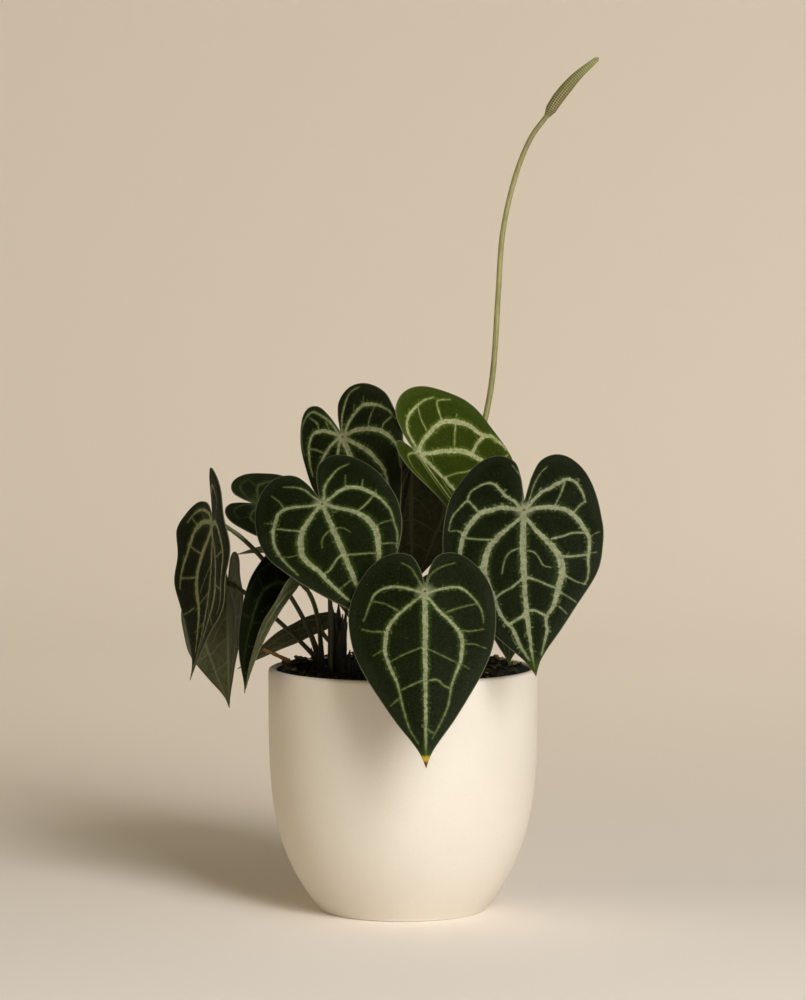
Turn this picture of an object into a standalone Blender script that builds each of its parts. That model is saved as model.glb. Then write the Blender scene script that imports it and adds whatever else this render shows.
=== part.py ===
"""A potted anthurium: heart-leaved plant with one flowering stalk, in a round-footed pot.

Metres, +Z up. The origin is the centre of the pot's flat underside, and the plant's front looks along -Y.
Leaves, stalks and chips are driven by the tables and constants below.
"""

import random
from math import cos, pi, radians, sin

import bmesh
import bpy
import numpy as np
from mathutils import Matrix, Vector, noise

MM = 0.001
SEED = 7
UP = Vector((0.0, 0.0, 1.0))

# The gap that pieces keep where they touch
GAP = 0.3 * MM

# Pot
POT_HEIGHT = 126 * MM
RIM_RADIUS = 70 * MM
FOOT_RADIUS = 43 * MM
ROUNDING = 4.1
WALL = 4 * MM
FLOOR = 7 * MM
POT_SEGMENTS = 48
POT_RINGS = 10

# Soil
SOIL_TOP = 125 * MM
SOIL_DISH = 1.5 * MM
SOIL_SEGMENTS = 24
SOIL_RINGS = 6
CHIPS = 32
CHIP_SIZE = (3.0 * MM, 6.5 * MM)

# Stems and their holes
HOLE_BOTTOM = 108 * MM
HOLE_TOP = 135 * MM
HOLE_SIDES = 8
STRAIGHT_TO = 124 * MM
STALK_STEPS = 9
STALK_BASE = 2.0 * MM
STALK_MIDDLE = 1.2 * MM
STALK_JOINT = 1.5 * MM

# Growing points: centre x, centre y, stub radius, stub top and radius of the ring of leaf stalks
CROWNS = {
    "main": dict(centre=(-4 * MM, 5 * MM), radius=8.0 * MM, top=142 * MM, ring=12.5 * MM, sheaths=11),
    "side": dict(centre=(-34 * MM, 2 * MM), radius=5.4 * MM, top=140 * MM, ring=9.5 * MM, sheaths=9),
}

# Blade, and the room between its underside and the end of its stalk
BLADE = 0.8 * MM
JOINT_GAP = 0.85 * MM
OUTLINE_STEPS = 15
COLUMNS = (0.0, 0.42, 0.76, 1.0)
# Spokes to the outline's first points have no inner columns, because they lie close together at the notch.
NOTCH_SPOKES = 2
# Outline points up to this far along are reached from the joint, and those beyond it from the midrib.
SPOKES_TO = 0.12

# Half of a leaf's outline from the notch to the tip: across and along, in lengths of the midrib.
# The stalk meets the blade at (0, 0), and the lobes lie behind it.
HALF_LEAF = (
    (0.0, -0.05),
    (0.014, -0.11),
    (0.034, -0.18),
    (0.078, -0.262),
    (0.16, -0.30),
    (0.25, -0.285),
    (0.34, -0.215),
    (0.41, -0.10),
    (0.448, 0.04),
    (0.452, 0.18),
    (0.424, 0.33),
    (0.358, 0.475),
    (0.265, 0.62),
    (0.172, 0.75),
    (0.088, 0.85),
    (0.042, 0.91),
    (0.018, 0.955),
    (0.0, 1.0),
)

# One row a leaf, with places and lengths in millimetres and angles in degrees. Pairs are for the left and
# the right half, seen from the joint towards the tip.
# joint: where the stalk meets the blade. length: joint to tip, along the midrib.
# wide, lobe: factors on the outline's width and on its lobes.
# heading: where the midrib points, from the front towards +X. pitch: its angle below level.
# roll: turn of the blade about its midrib. fold: how far each half is raised at the midrib.
# curl: how far each half turns on towards its edge. bend: how far the midrib droops towards the tip.
# lobe_bend: how far each lobe droops. belly: shift of the widest place towards the tip, in blade lengths.
# wave: height of the edge's waves, in blade lengths, and their place along it.
# crown, slot: the growing point and the stalk's place on its ring.
# rise, arrive: length of the stalk's upright start and of its end behind the blade.
LEAVES = {
    "front": dict(
        joint=(10.9, -83, 172.3), length=92, wide=(0.95, 0.86), lobe=(0.92, 0.90), heading=0, pitch=54, roll=-1,
        fold=(-11, -8), curl=(-26, -22), bend=22, lobe_bend=(20, 21), belly=(-0.02, -0.01), wave=(0.010, 0.3),
        crown="main", slot=-92, rise=30, arrive=20,
    ),
    "left": dict(
        joint=(-41.3, -26, 212.2), length=82.5, wide=(1.00, 0.98), lobe=(1.12, 1.23), heading=24, pitch=39, roll=-22,
        fold=(4, 7), curl=(-43, -33), bend=13, lobe_bend=(7, 9), belly=(-0.02, 0.0), wave=(0.010, 1.4),
        crown="side", slot=-110, rise=45, arrive=24,
    ),
    "right": dict(
        joint=(60.7, -57, 211.1), length=87, wide=(1.05, 1.03), lobe=(1.29, 1.25), heading=-7, pitch=57, roll=-22,
        fold=(15, -19), curl=(0, -50), bend=31, lobe_bend=(30, -1), belly=(0.02, 0.03), wave=(0.014, 2.6),
        crown="main", slot=-56, rise=42, arrive=14,
    ),
    "top_left": dict(
        joint=(-32, 40, 244), length=78, wide=(0.80, 1.02), lobe=(1.24, 0.93), heading=27, pitch=45, roll=-59,
        fold=(4, 9), curl=(-27, -17), bend=13, lobe_bend=(-21, -8), belly=(0.0, -0.01), wave=(0.010, 3.9),
        crown="main", slot=200, rise=60, arrive=20,
    ),
    "top_right": dict(
        joint=(8, 12, 236.3), length=98, wide=(0.62, 1.10), lobe=(0.52, 0.94), heading=98, pitch=44, roll=-36,
        fold=(0, 19), curl=(95, 2), bend=14, lobe_bend=(-60, -25), belly=(0.16, 0.03), wave=(0.008, 5.1),
        crown="main", slot=235, rise=60, arrive=18,
    ),
    "far_left": dict(
        joint=(-97.5, -20, 202), length=82, wide=(1.10, 1.06), lobe=(0.50, 1.20), heading=-75, pitch=92, roll=-5,
        fold=(9, 5), curl=(50, -40), bend=-21, lobe_bend=(-5, -15), belly=(0.12, 0.11), wave=(0.010, 0.9),
        crown="side", slot=176, rise=25, arrive=16,
    ),
    "far_left_low": dict(
        joint=(-92.3, 28, 167.2), length=66, wide=(1.0, 0.98), lobe=(0.80, 0.70), heading=-118, pitch=89, roll=-5,
        fold=(23, 20), curl=(-6, -6), bend=3, lobe_bend=(5, 5), belly=(0.02, 0.12), wave=(0.012, 2.2),
        crown="side", slot=140, rise=4, arrive=9,
    ),
    "left_behind": dict(
        joint=(-77.2, 45, 208), length=54, wide=(0.92, 0.92), lobe=(1.0, 1.0), heading=90, pitch=12, roll=-45,
        fold=(8, 8), curl=(-25, -25), bend=14, lobe_bend=(5, 5), belly=(0.0, 0.0), wave=(0.010, 3.3),
        crown="main", slot=168, rise=34, arrive=24,
    ),
    "left_folded": dict(
        joint=(-52.4, -26.5, 172.2), length=64, wide=(0.90, 0.95), lobe=(0.8, 0.8), heading=-72, pitch=48, roll=0,
        fold=(48, 28), curl=(-10, -10), bend=28, lobe_bend=(5, 5), belly=(-0.15, 0.0), wave=(0.010, 4.4),
        crown="side", slot=-152, rise=22, arrive=12,
    ),
    "left_low": dict(
        joint=(-44, 31, 144), length=50, wide=(0.5, 0.6), lobe=(0.8, 0.8), heading=-100, pitch=24, roll=-24,
        fold=(12, 12), curl=(-20, -20), bend=8, lobe_bend=(5, 5), belly=(0.0, 0.0), wave=(0.014, 5.6),
        crown="side", slot=60, rise=8, arrive=9,
    ),
    "left_back": dict(
        joint=(-53.2, 69, 183.6), length=38, wide=(0.85, 0.85), lobe=(1.0, 1.0), heading=-96, pitch=2, roll=-14,
        fold=(5, 5), curl=(-25, -25), bend=10, lobe_bend=(10, 10), belly=(0.0, 0.0), wave=(0.012, 1.9),
        crown="main", slot=138, rise=30, arrive=12,
    ),
    "right_inner": dict(
        joint=(55, -6, 170), length=43, wide=(0.9, 0.9), lobe=(0.8, 0.8), heading=25, pitch=88, roll=0,
        fold=(8, 8), curl=(-25, -25), bend=6, lobe_bend=(10, 10), belly=(0.0, 0.0), wave=(0.012, 2.9),
        crown="main", slot=-20, rise=30, arrive=15,
    ),
    "back": dict(
        joint=(4, 52, 229), length=74, wide=(1.0, 1.0), lobe=(0.9, 0.9), heading=178, pitch=66, roll=0,
        fold=(5, 5), curl=(-25, -25), bend=10, lobe_bend=(10, 10), belly=(0.06, 0.06), wave=(0.010, 0.6),
        crown="main", slot=108, rise=50, arrive=18,
    ),
    "back_right": dict(
        joint=(56, 66, 190), length=70, wide=(1.0, 1.0), lobe=(1.0, 1.0), heading=142, pitch=42, roll=0,
        fold=(5, 5), curl=(-25, -25), bend=20, lobe_bend=(10, 10), belly=(0.0, 0.0), wave=(0.012, 3.6),
        crown="main", slot=46, rise=30, arrive=20,
    ),
    "back_low": dict(
        joint=(6, 52, 160), length=62, wide=(1.0, 1.0), lobe=(0.9, 0.9), heading=186, pitch=44, roll=0,
        fold=(5, 5), curl=(-25, -25), bend=20, lobe_bend=(10, 10), belly=(0.0, 0.0), wave=(0.012, 4.9),
        crown="main", slot=77, rise=16, arrive=16,
    ),
}

# Flowering stalk: its route above the soil and its radii, in millimetres
PEDUNCLE_SLOT = 14
PEDUNCLE_ROUTE = (
    (13, 16, 150),
    (27, 32, 200),
    (38.7, 45, 236),
    (44.7, 48, 258),
    (48.2, 48, 282),
    (50.5, 48, 318),
    (52.4, 48, 348),
    (56.2, 48, 369.3),
    (61.3, 48, 387.3),
    (67.8, 48, 402.4),
    (75.8, 48, 413.5),
)
PEDUNCLE_RADII = (1.8, 1.35)
SPADIX_ROUTE = ((76.3, 48, 414), (82.4, 48, 423.5), (91.9, 48, 434.6), (103.5, 48, 444.6))
SPADIX_RADII = (2.6, 3.0, 2.7, 1.1)
SPADIX_SIDES = 14
SPADIX_RINGS = 30
FLORET = 0.3 * MM

# Dry stalk at the pot's left rim, in millimetres
DRY_ROUTE = ((-58.5, 6, 126), (-61, 5, 129), (-66.5, 4, 132), (-73, 3, 135))
DRY_RADII = (1.5, 0.7)

# Colours: linear red, green and blue, then roughness
MATERIALS = {
    "stoneware": ((0.80, 0.71, 0.56), 0.6),
    "soil": ((0.030, 0.022, 0.012), 0.95),
    "leaf": ((0.012, 0.022, 0.008), 0.5),
    "young_leaf": ((0.055, 0.10, 0.012), 0.5),
    "stalk": ((0.10, 0.11, 0.035), 0.5),
    "sheath": ((0.05, 0.035, 0.015), 0.8),
    "dry": ((0.22, 0.12, 0.03), 0.8),
    "spadix": ((0.17, 0.18, 0.05), 0.6),
}


def clear_scene():
    for obj in list(bpy.data.objects):
        bpy.data.objects.remove(obj, do_unlink=True)


def make_material(name):
    colour, roughness = MATERIALS[name]
    material = bpy.data.materials.get(name) or bpy.data.materials.new(name)
    material.use_nodes = True
    shader = material.node_tree.nodes["Principled BSDF"]
    shader.inputs["Base Color"].default_value = (*colour, 1.0)
    shader.inputs["Roughness"].default_value = roughness
    shader.inputs["Metallic"].default_value = 0.0
    material.diffuse_color = (*colour, 1.0)
    return material


def add_mesh(name, vertices, faces, material, smooth=True):
    mesh = bpy.data.meshes.new(name)
    mesh.from_pydata([tuple(v) for v in vertices], [], [tuple(f) for f in faces])
    mesh.update()
    if smooth:
        mesh.shade_smooth()
        mesh.set_sharp_from_angle(angle=radians(40))
    mesh.materials.append(make_material(material))
    obj = bpy.data.objects.new(name, mesh)
    bpy.context.scene.collection.objects.link(obj)
    return obj


def add_curve(name, points, radii, material, sides_level=2):
    """A tube with flat ends along the points, with a radius for each."""
    data = bpy.data.curves.new(name, "CURVE")
    data.dimensions = "3D"
    data.twist_mode = "MINIMUM"
    data.bevel_depth = 1.0
    data.bevel_resolution = sides_level
    data.use_fill_caps = True
    spline = data.splines.new("POLY")
    spline.points.add(len(points) - 1)
    for target, point, radius in zip(spline.points, points, radii):
        target.co = (*point, 1.0)
        target.radius = radius
    data.materials.append(make_material(material))
    obj = bpy.data.objects.new(name, data)
    bpy.context.scene.collection.objects.link(obj)
    return obj


def smooth_curve(points, steps):
    """Catmull-Rom curve through the points, with steps samples a span."""
    points = np.asarray(points, float)
    padded = np.vstack([2 * points[0] - points[1], points, 2 * points[-1] - points[-2]])
    t = np.linspace(0, 1, steps, endpoint=False)[:, None]
    out = []
    for a, b, c, d in zip(padded, padded[1:], padded[2:], padded[3:]):
        square = (2 * a - 5 * b + 4 * c - d) * t**2
        out.append(0.5 * (2 * b + (c - a) * t + square + (3 * b - a - 3 * c + d) * t**3))
    return np.vstack(out + [points[-1:]])


def even_samples(curve, count):
    """count points at even distances along a curve of many points."""
    lengths = np.concatenate([[0], np.cumsum(np.linalg.norm(np.diff(curve, axis=0), axis=1))])
    wanted = np.linspace(0, lengths[-1], count)
    return np.stack([np.interp(wanted, lengths, axis) for axis in curve.T], axis=1)


def outer_radius(z):
    """The pot's outer radius at a height: a straight side that rounds in to the foot."""
    rounded = 1 - (1 - z / POT_HEIGHT) ** ROUNDING
    return FOOT_RADIUS + (RIM_RADIUS - FOOT_RADIUS) * max(rounded, 0.0)


def turned(profile, segments):
    """Vertices and faces of a profile of (radius, z) turned about Z. It starts and ends on the axis."""
    vertices = [(0, 0, profile[0][1])]
    for radius, z in profile[1:-1]:
        for k in range(segments):
            angle = 2 * pi * k / segments
            vertices.append((radius * cos(angle), radius * sin(angle), z))
    vertices.append((0, 0, profile[-1][1]))
    last = len(vertices) - 1
    rings = len(profile) - 2
    faces = []
    for k in range(segments):
        after = (k + 1) % segments
        faces.append((0, 1 + after, 1 + k))
        for ring in range(rings - 1):
            low = 1 + ring * segments
            high = low + segments
            faces.append((low + k, low + after, high + after, high + k))
        top = 1 + (rings - 1) * segments
        faces.append((last, top + k, top + after))
    return vertices, faces


def wall_heights():
    """Heights of the pot's rings, closer together towards the foot."""
    return [POT_HEIGHT * (k / POT_RINGS) ** 1.5 for k in range(1, POT_RINGS)]


def inner_wall():
    """(radius, z) up the inside of the pot, from the edge of its floor."""
    edge = (outer_radius(FLOOR) - WALL - 5 * MM, FLOOR)
    return [edge] + [(outer_radius(z) - WALL, z) for z in wall_heights() if z > FLOOR + 2 * MM]


def add_pot():
    heights = wall_heights()
    lip = WALL / 2
    outside = [(outer_radius(z), z) for z in heights if z < POT_HEIGHT - 1.5 * lip]
    rounded_lip = []
    for k in range(5):
        angle = pi * k / 4
        rounded_lip.append((RIM_RADIUS - lip + lip * cos(angle), POT_HEIGHT - lip + lip * sin(angle)))
    profile = [(0, 0), (FOOT_RADIUS - 1 * MM, 0), (FOOT_RADIUS, 0.5 * MM)]
    profile += outside + rounded_lip + inner_wall()[::-1] + [(0, FLOOR)]
    vertices, faces = turned(profile, POT_SEGMENTS)
    return add_mesh("pot", vertices, faces, "stoneware")


def soil_height(x, y):
    radius = min(((x * x + y * y) ** 0.5) / (RIM_RADIUS - WALL), 1.0)
    bumps = noise.noise(Vector((x, y, 0)) * 90) * 1.1 * MM + noise.noise(Vector((x, y, 5)) * 260) * 0.6 * MM
    return SOIL_TOP - SOIL_DISH * (1 - radius**2) + bumps * (1 - radius**6)


def soil_body():
    """The filling of the pot, a gap inside its wall, with its surface banked up to the rim."""
    side = [(radius - 1.5 * GAP, z + GAP) for radius, z in inner_wall() if z < SOIL_TOP - 4 * MM]
    edge = outer_radius(SOIL_TOP) - WALL - 1.5 * GAP
    side.append((edge, SOIL_TOP))
    top = [(edge * (1 - k / SOIL_RINGS), SOIL_TOP) for k in range(1, SOIL_RINGS)]
    profile = [(0, FLOOR + GAP)] + side + top + [(0, SOIL_TOP)]
    vertices, faces = turned(profile, SOIL_SEGMENTS)
    surface_from = 1 + SOIL_SEGMENTS * len(side)
    moved = []
    for index, (x, y, z) in enumerate(vertices):
        moved.append((x, y, soil_height(x, y)) if index >= surface_from else (x, y, z))
    return add_mesh("soil", moved, faces, "soil", smooth=False)


def chip_mesh(draw):
    """One bark chip: a flattened block with uneven corners, half sunk in the soil."""
    reach = RIM_RADIUS - WALL - CHIP_SIZE[1] - 1.5 * MM
    angle = draw.uniform(0, 2 * pi)
    radius = reach * draw.random() ** 0.55
    size = draw.uniform(*CHIP_SIZE)
    bm = bmesh.new()
    bmesh.ops.create_cube(bm, size=1.0)
    for vertex in bm.verts:
        vertex.co.x *= size * draw.uniform(0.8, 1.25)
        vertex.co.y *= size * draw.uniform(0.45, 0.75)
        vertex.co.z *= size * draw.uniform(0.35, 0.55)
    turn = Matrix.Rotation(draw.uniform(0, 2 * pi), 4, "Z") @ Matrix.Rotation(draw.uniform(-0.5, 0.5), 4, "X")
    x = radius * cos(angle)
    y = radius * sin(angle)
    place = Matrix.Translation((x, y, soil_height(x, y) + 0.1 * size))
    bmesh.ops.transform(bm, matrix=place @ turn, verts=bm.verts)
    bmesh.ops.triangulate(bm, faces=bm.faces)
    mesh = bpy.data.meshes.new("chip")
    bm.to_mesh(mesh)
    bm.free()
    return mesh


def boolean(target, operation, objects, solver):
    """Joins the objects to the target, or cuts them from it, and removes them."""
    group = bpy.data.collections.new("tools")
    bpy.context.scene.collection.children.link(group)
    for obj in objects:
        for home in list(obj.users_collection):
            home.objects.unlink(obj)
        group.objects.link(obj)
    modifier = target.modifiers.new(operation, "BOOLEAN")
    modifier.operation = operation
    modifier.operand_type = "COLLECTION"
    modifier.collection = group
    modifier.solver = solver
    bpy.context.view_layer.update()
    graph = bpy.context.evaluated_depsgraph_get()
    result = bpy.data.meshes.new_from_object(target.evaluated_get(graph))
    target.modifiers.clear()
    target.data = result
    for obj in objects:
        bpy.data.objects.remove(obj, do_unlink=True)
    bpy.data.collections.remove(group)


def keep_largest(obj):
    """Drops loose scraps that a cut leaves."""
    bm = bmesh.new()
    bm.from_mesh(obj.data)
    bmesh.ops.remove_doubles(bm, verts=bm.verts, dist=0.002 * MM)
    left = set(bm.verts)
    pieces = []
    while left:
        piece = {left.pop()}
        edge_of_piece = list(piece)
        while edge_of_piece:
            vertex = edge_of_piece.pop()
            for edge in vertex.link_edges:
                other = edge.other_vert(vertex)
                if other in left:
                    left.remove(other)
                    piece.add(other)
                    edge_of_piece.append(other)
        pieces.append(piece)
    pieces.sort(key=len)
    for piece in pieces[:-1]:
        bmesh.ops.delete(bm, geom=list(piece), context="VERTS")
    bm.to_mesh(obj.data)
    bm.free()


def cylinder(name, centre, radius, bottom, top, sides, material):
    mesh = bpy.data.meshes.new(name)
    bm = bmesh.new()
    middle = Matrix.Translation((centre[0], centre[1], (bottom + top) / 2))
    bmesh.ops.create_cone(
        bm, cap_ends=True, segments=sides, radius1=radius, radius2=radius, depth=top - bottom, matrix=middle
    )
    bm.to_mesh(mesh)
    bm.free()
    mesh.materials.append(make_material(material))
    obj = bpy.data.objects.new(name, mesh)
    bpy.context.scene.collection.objects.link(obj)
    return obj


def stalk_foot(crown, slot):
    """Where a stalk stands on its growing point's ring."""
    centre = CROWNS[crown]["centre"]
    ring = CROWNS[crown]["ring"]
    return (centre[0] + ring * cos(radians(slot)), centre[1] + ring * sin(radians(slot)))


def stem_places():
    """(x, y, radius) of every stem that stands in the soil."""
    places = [(*stalk_foot(leaf["crown"], leaf["slot"]), STALK_BASE) for leaf in LEAVES.values()]
    places.append((*stalk_foot("main", PEDUNCLE_SLOT), PEDUNCLE_RADII[0] * MM))
    places.append((DRY_ROUTE[0][0] * MM, DRY_ROUTE[0][1] * MM, DRY_RADII[0] * MM))
    for crown in CROWNS.values():
        places.append((*crown["centre"], crown["radius"]))
    return places


def add_soil():
    soil = soil_body()
    draw = random.Random(SEED)
    chips = []
    for _ in range(CHIPS):
        chip = bpy.data.objects.new("chip", chip_mesh(draw))
        bpy.context.scene.collection.objects.link(chip)
        chips.append(chip)
    boolean(soil, "UNION", chips, "MANIFOLD")
    holes = []
    for x, y, radius in stem_places():
        wide = (radius + 1.4 * GAP) / cos(pi / HOLE_SIDES)
        holes.append(cylinder("hole", (x, y), wide, HOLE_BOTTOM, HOLE_TOP, HOLE_SIDES, "soil"))
    boolean(soil, "DIFFERENCE", holes, "MANIFOLD")
    keep_largest(soil)
    soil.data.materials.clear()
    soil.data.materials.append(make_material("soil"))
    return soil


def add_crown(name, crown):
    """A short stub with dry pointed sheaths standing round its top."""
    centre = crown["centre"]
    stub = cylinder(name, centre, crown["radius"], HOLE_BOTTOM + GAP, crown["top"], 12, "sheath")
    draw = random.Random(len(name) + SEED)
    sheaths = []
    for k in range(crown["sheaths"]):
        angle = 2 * pi * k / crown["sheaths"] + draw.uniform(-0.15, 0.15)
        height = draw.uniform(17, 30) * MM
        lean = draw.uniform(-0.03, 0.04)
        bm = bmesh.new()
        bmesh.ops.create_cone(bm, cap_ends=True, segments=5, radius1=2.0 * MM, radius2=0.25 * MM, depth=height)
        bmesh.ops.scale(bm, vec=(0.5, 1.0, 1.0), verts=bm.verts)
        out = crown["radius"] - 1.3 * MM
        place = Matrix.Translation((centre[0], centre[1], crown["top"] - 4 * MM))
        turn = Matrix.Rotation(angle, 4, "Z") @ Matrix.Translation((out, 0, 0)) @ Matrix.Rotation(lean, 4, "Y")
        lift = Matrix.Translation((0, 0, height / 2))
        bmesh.ops.transform(bm, matrix=place @ turn @ lift, verts=bm.verts)
        mesh = bpy.data.meshes.new("sheath_part")
        bm.to_mesh(mesh)
        bm.free()
        sheath = bpy.data.objects.new("sheath_part", mesh)
        bpy.context.scene.collection.objects.link(sheath)
        sheaths.append(sheath)
    boolean(stub, "UNION", sheaths, "MANIFOLD")
    stub.data.materials.clear()
    stub.data.materials.append(make_material("sheath"))
    return stub


def leaf_axes(leaf):
    """Unit vectors of a blade at its joint: across to the right half, along the midrib, and out of its face."""
    heading = radians(leaf["heading"])
    pitch = radians(leaf["pitch"])
    roll = radians(leaf["roll"])
    ahead = np.array([sin(heading), -cos(heading), 0.0])
    up = np.array([0.0, 0.0, 1.0])
    along = cos(pitch) * ahead - sin(pitch) * up
    face = sin(pitch) * ahead + cos(pitch) * up
    face = cos(roll) * face + sin(roll) * np.cross(face, along)
    return np.cross(face, along), along, face


def arc(curvature, distance):
    """Run and rise after a distance along an arc."""
    curvature = np.where(np.abs(curvature) < 1e-6, 1e-6, curvature)
    return np.sin(curvature * distance) / curvature, (1 - np.cos(curvature * distance)) / curvature


def bend_blade(flat, half, leaf):
    """Points (across, along) of one half, 0 left and 1 right, in lengths of the midrib, bent into space."""
    across = flat[:, 0] * leaf["wide"][half]
    along = np.where(flat[:, 1] < 0, flat[:, 1] * leaf["lobe"][half], flat[:, 1])
    middle = np.sin(pi * np.clip((along + 0.3) / 1.3, 0, 1))
    along = along + leaf["belly"][half] * middle * np.clip(across / 0.4, 0, 1)
    run, rise = arc(radians(leaf["curl"][half]), across)
    height, place = leaf["wave"]
    rise = rise + height * (across / 0.45) ** 2 * np.sin(16 * along + place + 2 * half)
    fold = radians(leaf["fold"][half])
    out = run * cos(fold) - rise * sin(fold)
    lift = run * sin(fold) + rise * cos(fold)
    curvature = np.where(along >= 0, -radians(leaf["bend"]), -radians(leaf["lobe_bend"][half]))
    ahead, drop = arc(curvature, along)
    x = out * (2 * half - 1)
    y = ahead - lift * np.sin(curvature * along)
    z = drop + lift * np.cos(curvature * along)
    right, forward, face = leaf_axes(leaf)
    local = x[:, None] * right + y[:, None] * forward + z[:, None] * face
    return (np.array(leaf["joint"]) + leaf["length"] * local) * MM


def zip_rows(bm, low, high, turned_over):
    """Triangles between two rows of points that may share their ends."""
    i = k = 0
    while i < len(low) - 1 or k < len(high) - 1:
        step_low = (i + 1) / (len(low) - 1) if i < len(low) - 1 else 2
        step_high = (k + 1) / (len(high) - 1) if k < len(high) - 1 else 2
        if step_low < step_high:
            corners = [low[i], high[k], low[i + 1]]
            i += 1
        else:
            corners = [low[i], high[k], high[k + 1]]
            k += 1
        if len(set(corners)) == 3:
            bm.faces.new(corners[::-1] if turned_over else corners)


def blade_sheet(leaf):
    """The blade's middle surface: rows of triangles from the midrib and the joint out to the edge."""
    outline = even_samples(smooth_curve(HALF_LEAF, 8), OUTLINE_STEPS)
    rib = np.where(outline[:, 1] < SPOKES_TO, 0, (outline[:, 1] - SPOKES_TO) / (1 - SPOKES_TO))
    bm = bmesh.new()
    middle = {}
    for start in [*rib, outline[0][1]]:
        if start not in middle:
            middle[start] = bm.verts.new(bend_blade(np.array([(0.0, start)]), 0, leaf)[0])
    for half in (0, 1):
        rows = []
        for index, ((across, along), start) in enumerate(zip(outline, rib)):
            columns = (0.0, 1.0) if index < NOTCH_SPOKES else COLUMNS
            flat = np.array([(across * c, start + (along - start) * c) for c in columns[1:]])
            if index == 0:
                rows.append([middle[start], middle[along]])
            elif index == len(outline) - 1:
                rows.append([middle[start]])
            else:
                rows.append([middle[start]] + [bm.verts.new(p) for p in bend_blade(flat, half, leaf)])
        for low, high in zip(rows, rows[1:]):
            zip_rows(bm, low, high, half == 1)
    bmesh.ops.recalc_face_normals(bm, faces=bm.faces)
    bm.normal_update()
    return bm


def add_blade(name, leaf, material):
    """The blade as a closed sheet, split into the same triangles on both faces."""
    sheet = blade_sheet(leaf)
    sheet.verts.index_update()
    count = len(sheet.verts)
    upper = [v.co + v.normal * BLADE / 2 for v in sheet.verts]
    lower = [v.co - v.normal * BLADE / 2 for v in sheet.verts]
    faces = []
    for face in sheet.faces:
        corners = [v.index for v in face.verts]
        faces.append(corners)
        faces.append([count + k for k in reversed(corners)])
    for edge in sheet.edges:
        if edge.is_boundary:
            loop = edge.link_loops[0]
            a = loop.vert.index
            b = loop.link_loop_next.vert.index
            faces.append([b, a, count + a])
            faces.append([b, count + a, count + b])
    sheet.free()
    return add_mesh(name, upper + lower, faces, material)


def bezier(start, leave, arrive, end, steps):
    points = []
    for k in range(steps + 1):
        t = k / steps
        s = 1 - t
        points.append(start * s**3 + leave * (3 * s * s * t) + arrive * (3 * s * t * t) + end * t**3)
    return points


def stalk_radii(count):
    """Wide at the foot, slim along the stalk, and swollen at the joint under the blade."""
    radii = []
    for k in range(count):
        t = k / (count - 1)
        foot = (STALK_BASE - STALK_MIDDLE) * max(0.0, 1 - t / 0.35) ** 1.5
        joint = (STALK_JOINT - STALK_MIDDLE) * max(0.0, (t - 0.8) / 0.2)
        radii.append(STALK_MIDDLE + foot + joint)
    return radii


def add_stalk(name, leaf):
    foot = stalk_foot(leaf["crown"], leaf["slot"])
    face = Vector(leaf_axes(leaf)[2])
    start = Vector((*foot, STRAIGHT_TO))
    end = Vector(leaf["joint"]) * MM - face * (BLADE / 2 + JOINT_GAP)
    leave = start + UP * leaf["rise"] * MM
    arrive = end - face * leaf["arrive"] * MM
    points = [Vector((*foot, HOLE_BOTTOM + GAP))] + bezier(start, leave, arrive, end, STALK_STEPS)
    radii = [STALK_BASE] + stalk_radii(len(points) - 1)
    return add_curve(name, points, radii, "stalk")


def add_peduncle():
    foot = stalk_foot("main", PEDUNCLE_SLOT)
    route = [(foot[0] / MM, foot[1] / MM, STRAIGHT_TO / MM)] + list(PEDUNCLE_ROUTE)
    curve = even_samples(smooth_curve(route, 6), 30) * MM
    points = [Vector((*foot, HOLE_BOTTOM + GAP))] + [Vector(p) for p in curve]
    base, tip = PEDUNCLE_RADII
    radii = [(base + (tip - base) * k / (len(points) - 1)) * MM for k in range(len(points))]
    return add_curve("peduncle", points, radii, "stalk")


def add_dry_stalk():
    x, y, z = DRY_ROUTE[0]
    curve = even_samples(smooth_curve(DRY_ROUTE, 4), 7) * MM
    points = [Vector((x * MM, y * MM, HOLE_BOTTOM + GAP))] + [Vector(p) for p in curve]
    base, tip = DRY_RADII
    radii = [(base + (tip - base) * k / (len(points) - 1)) * MM for k in range(len(points))]
    return add_curve("dry_stalk", points, radii, "dry")


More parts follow.
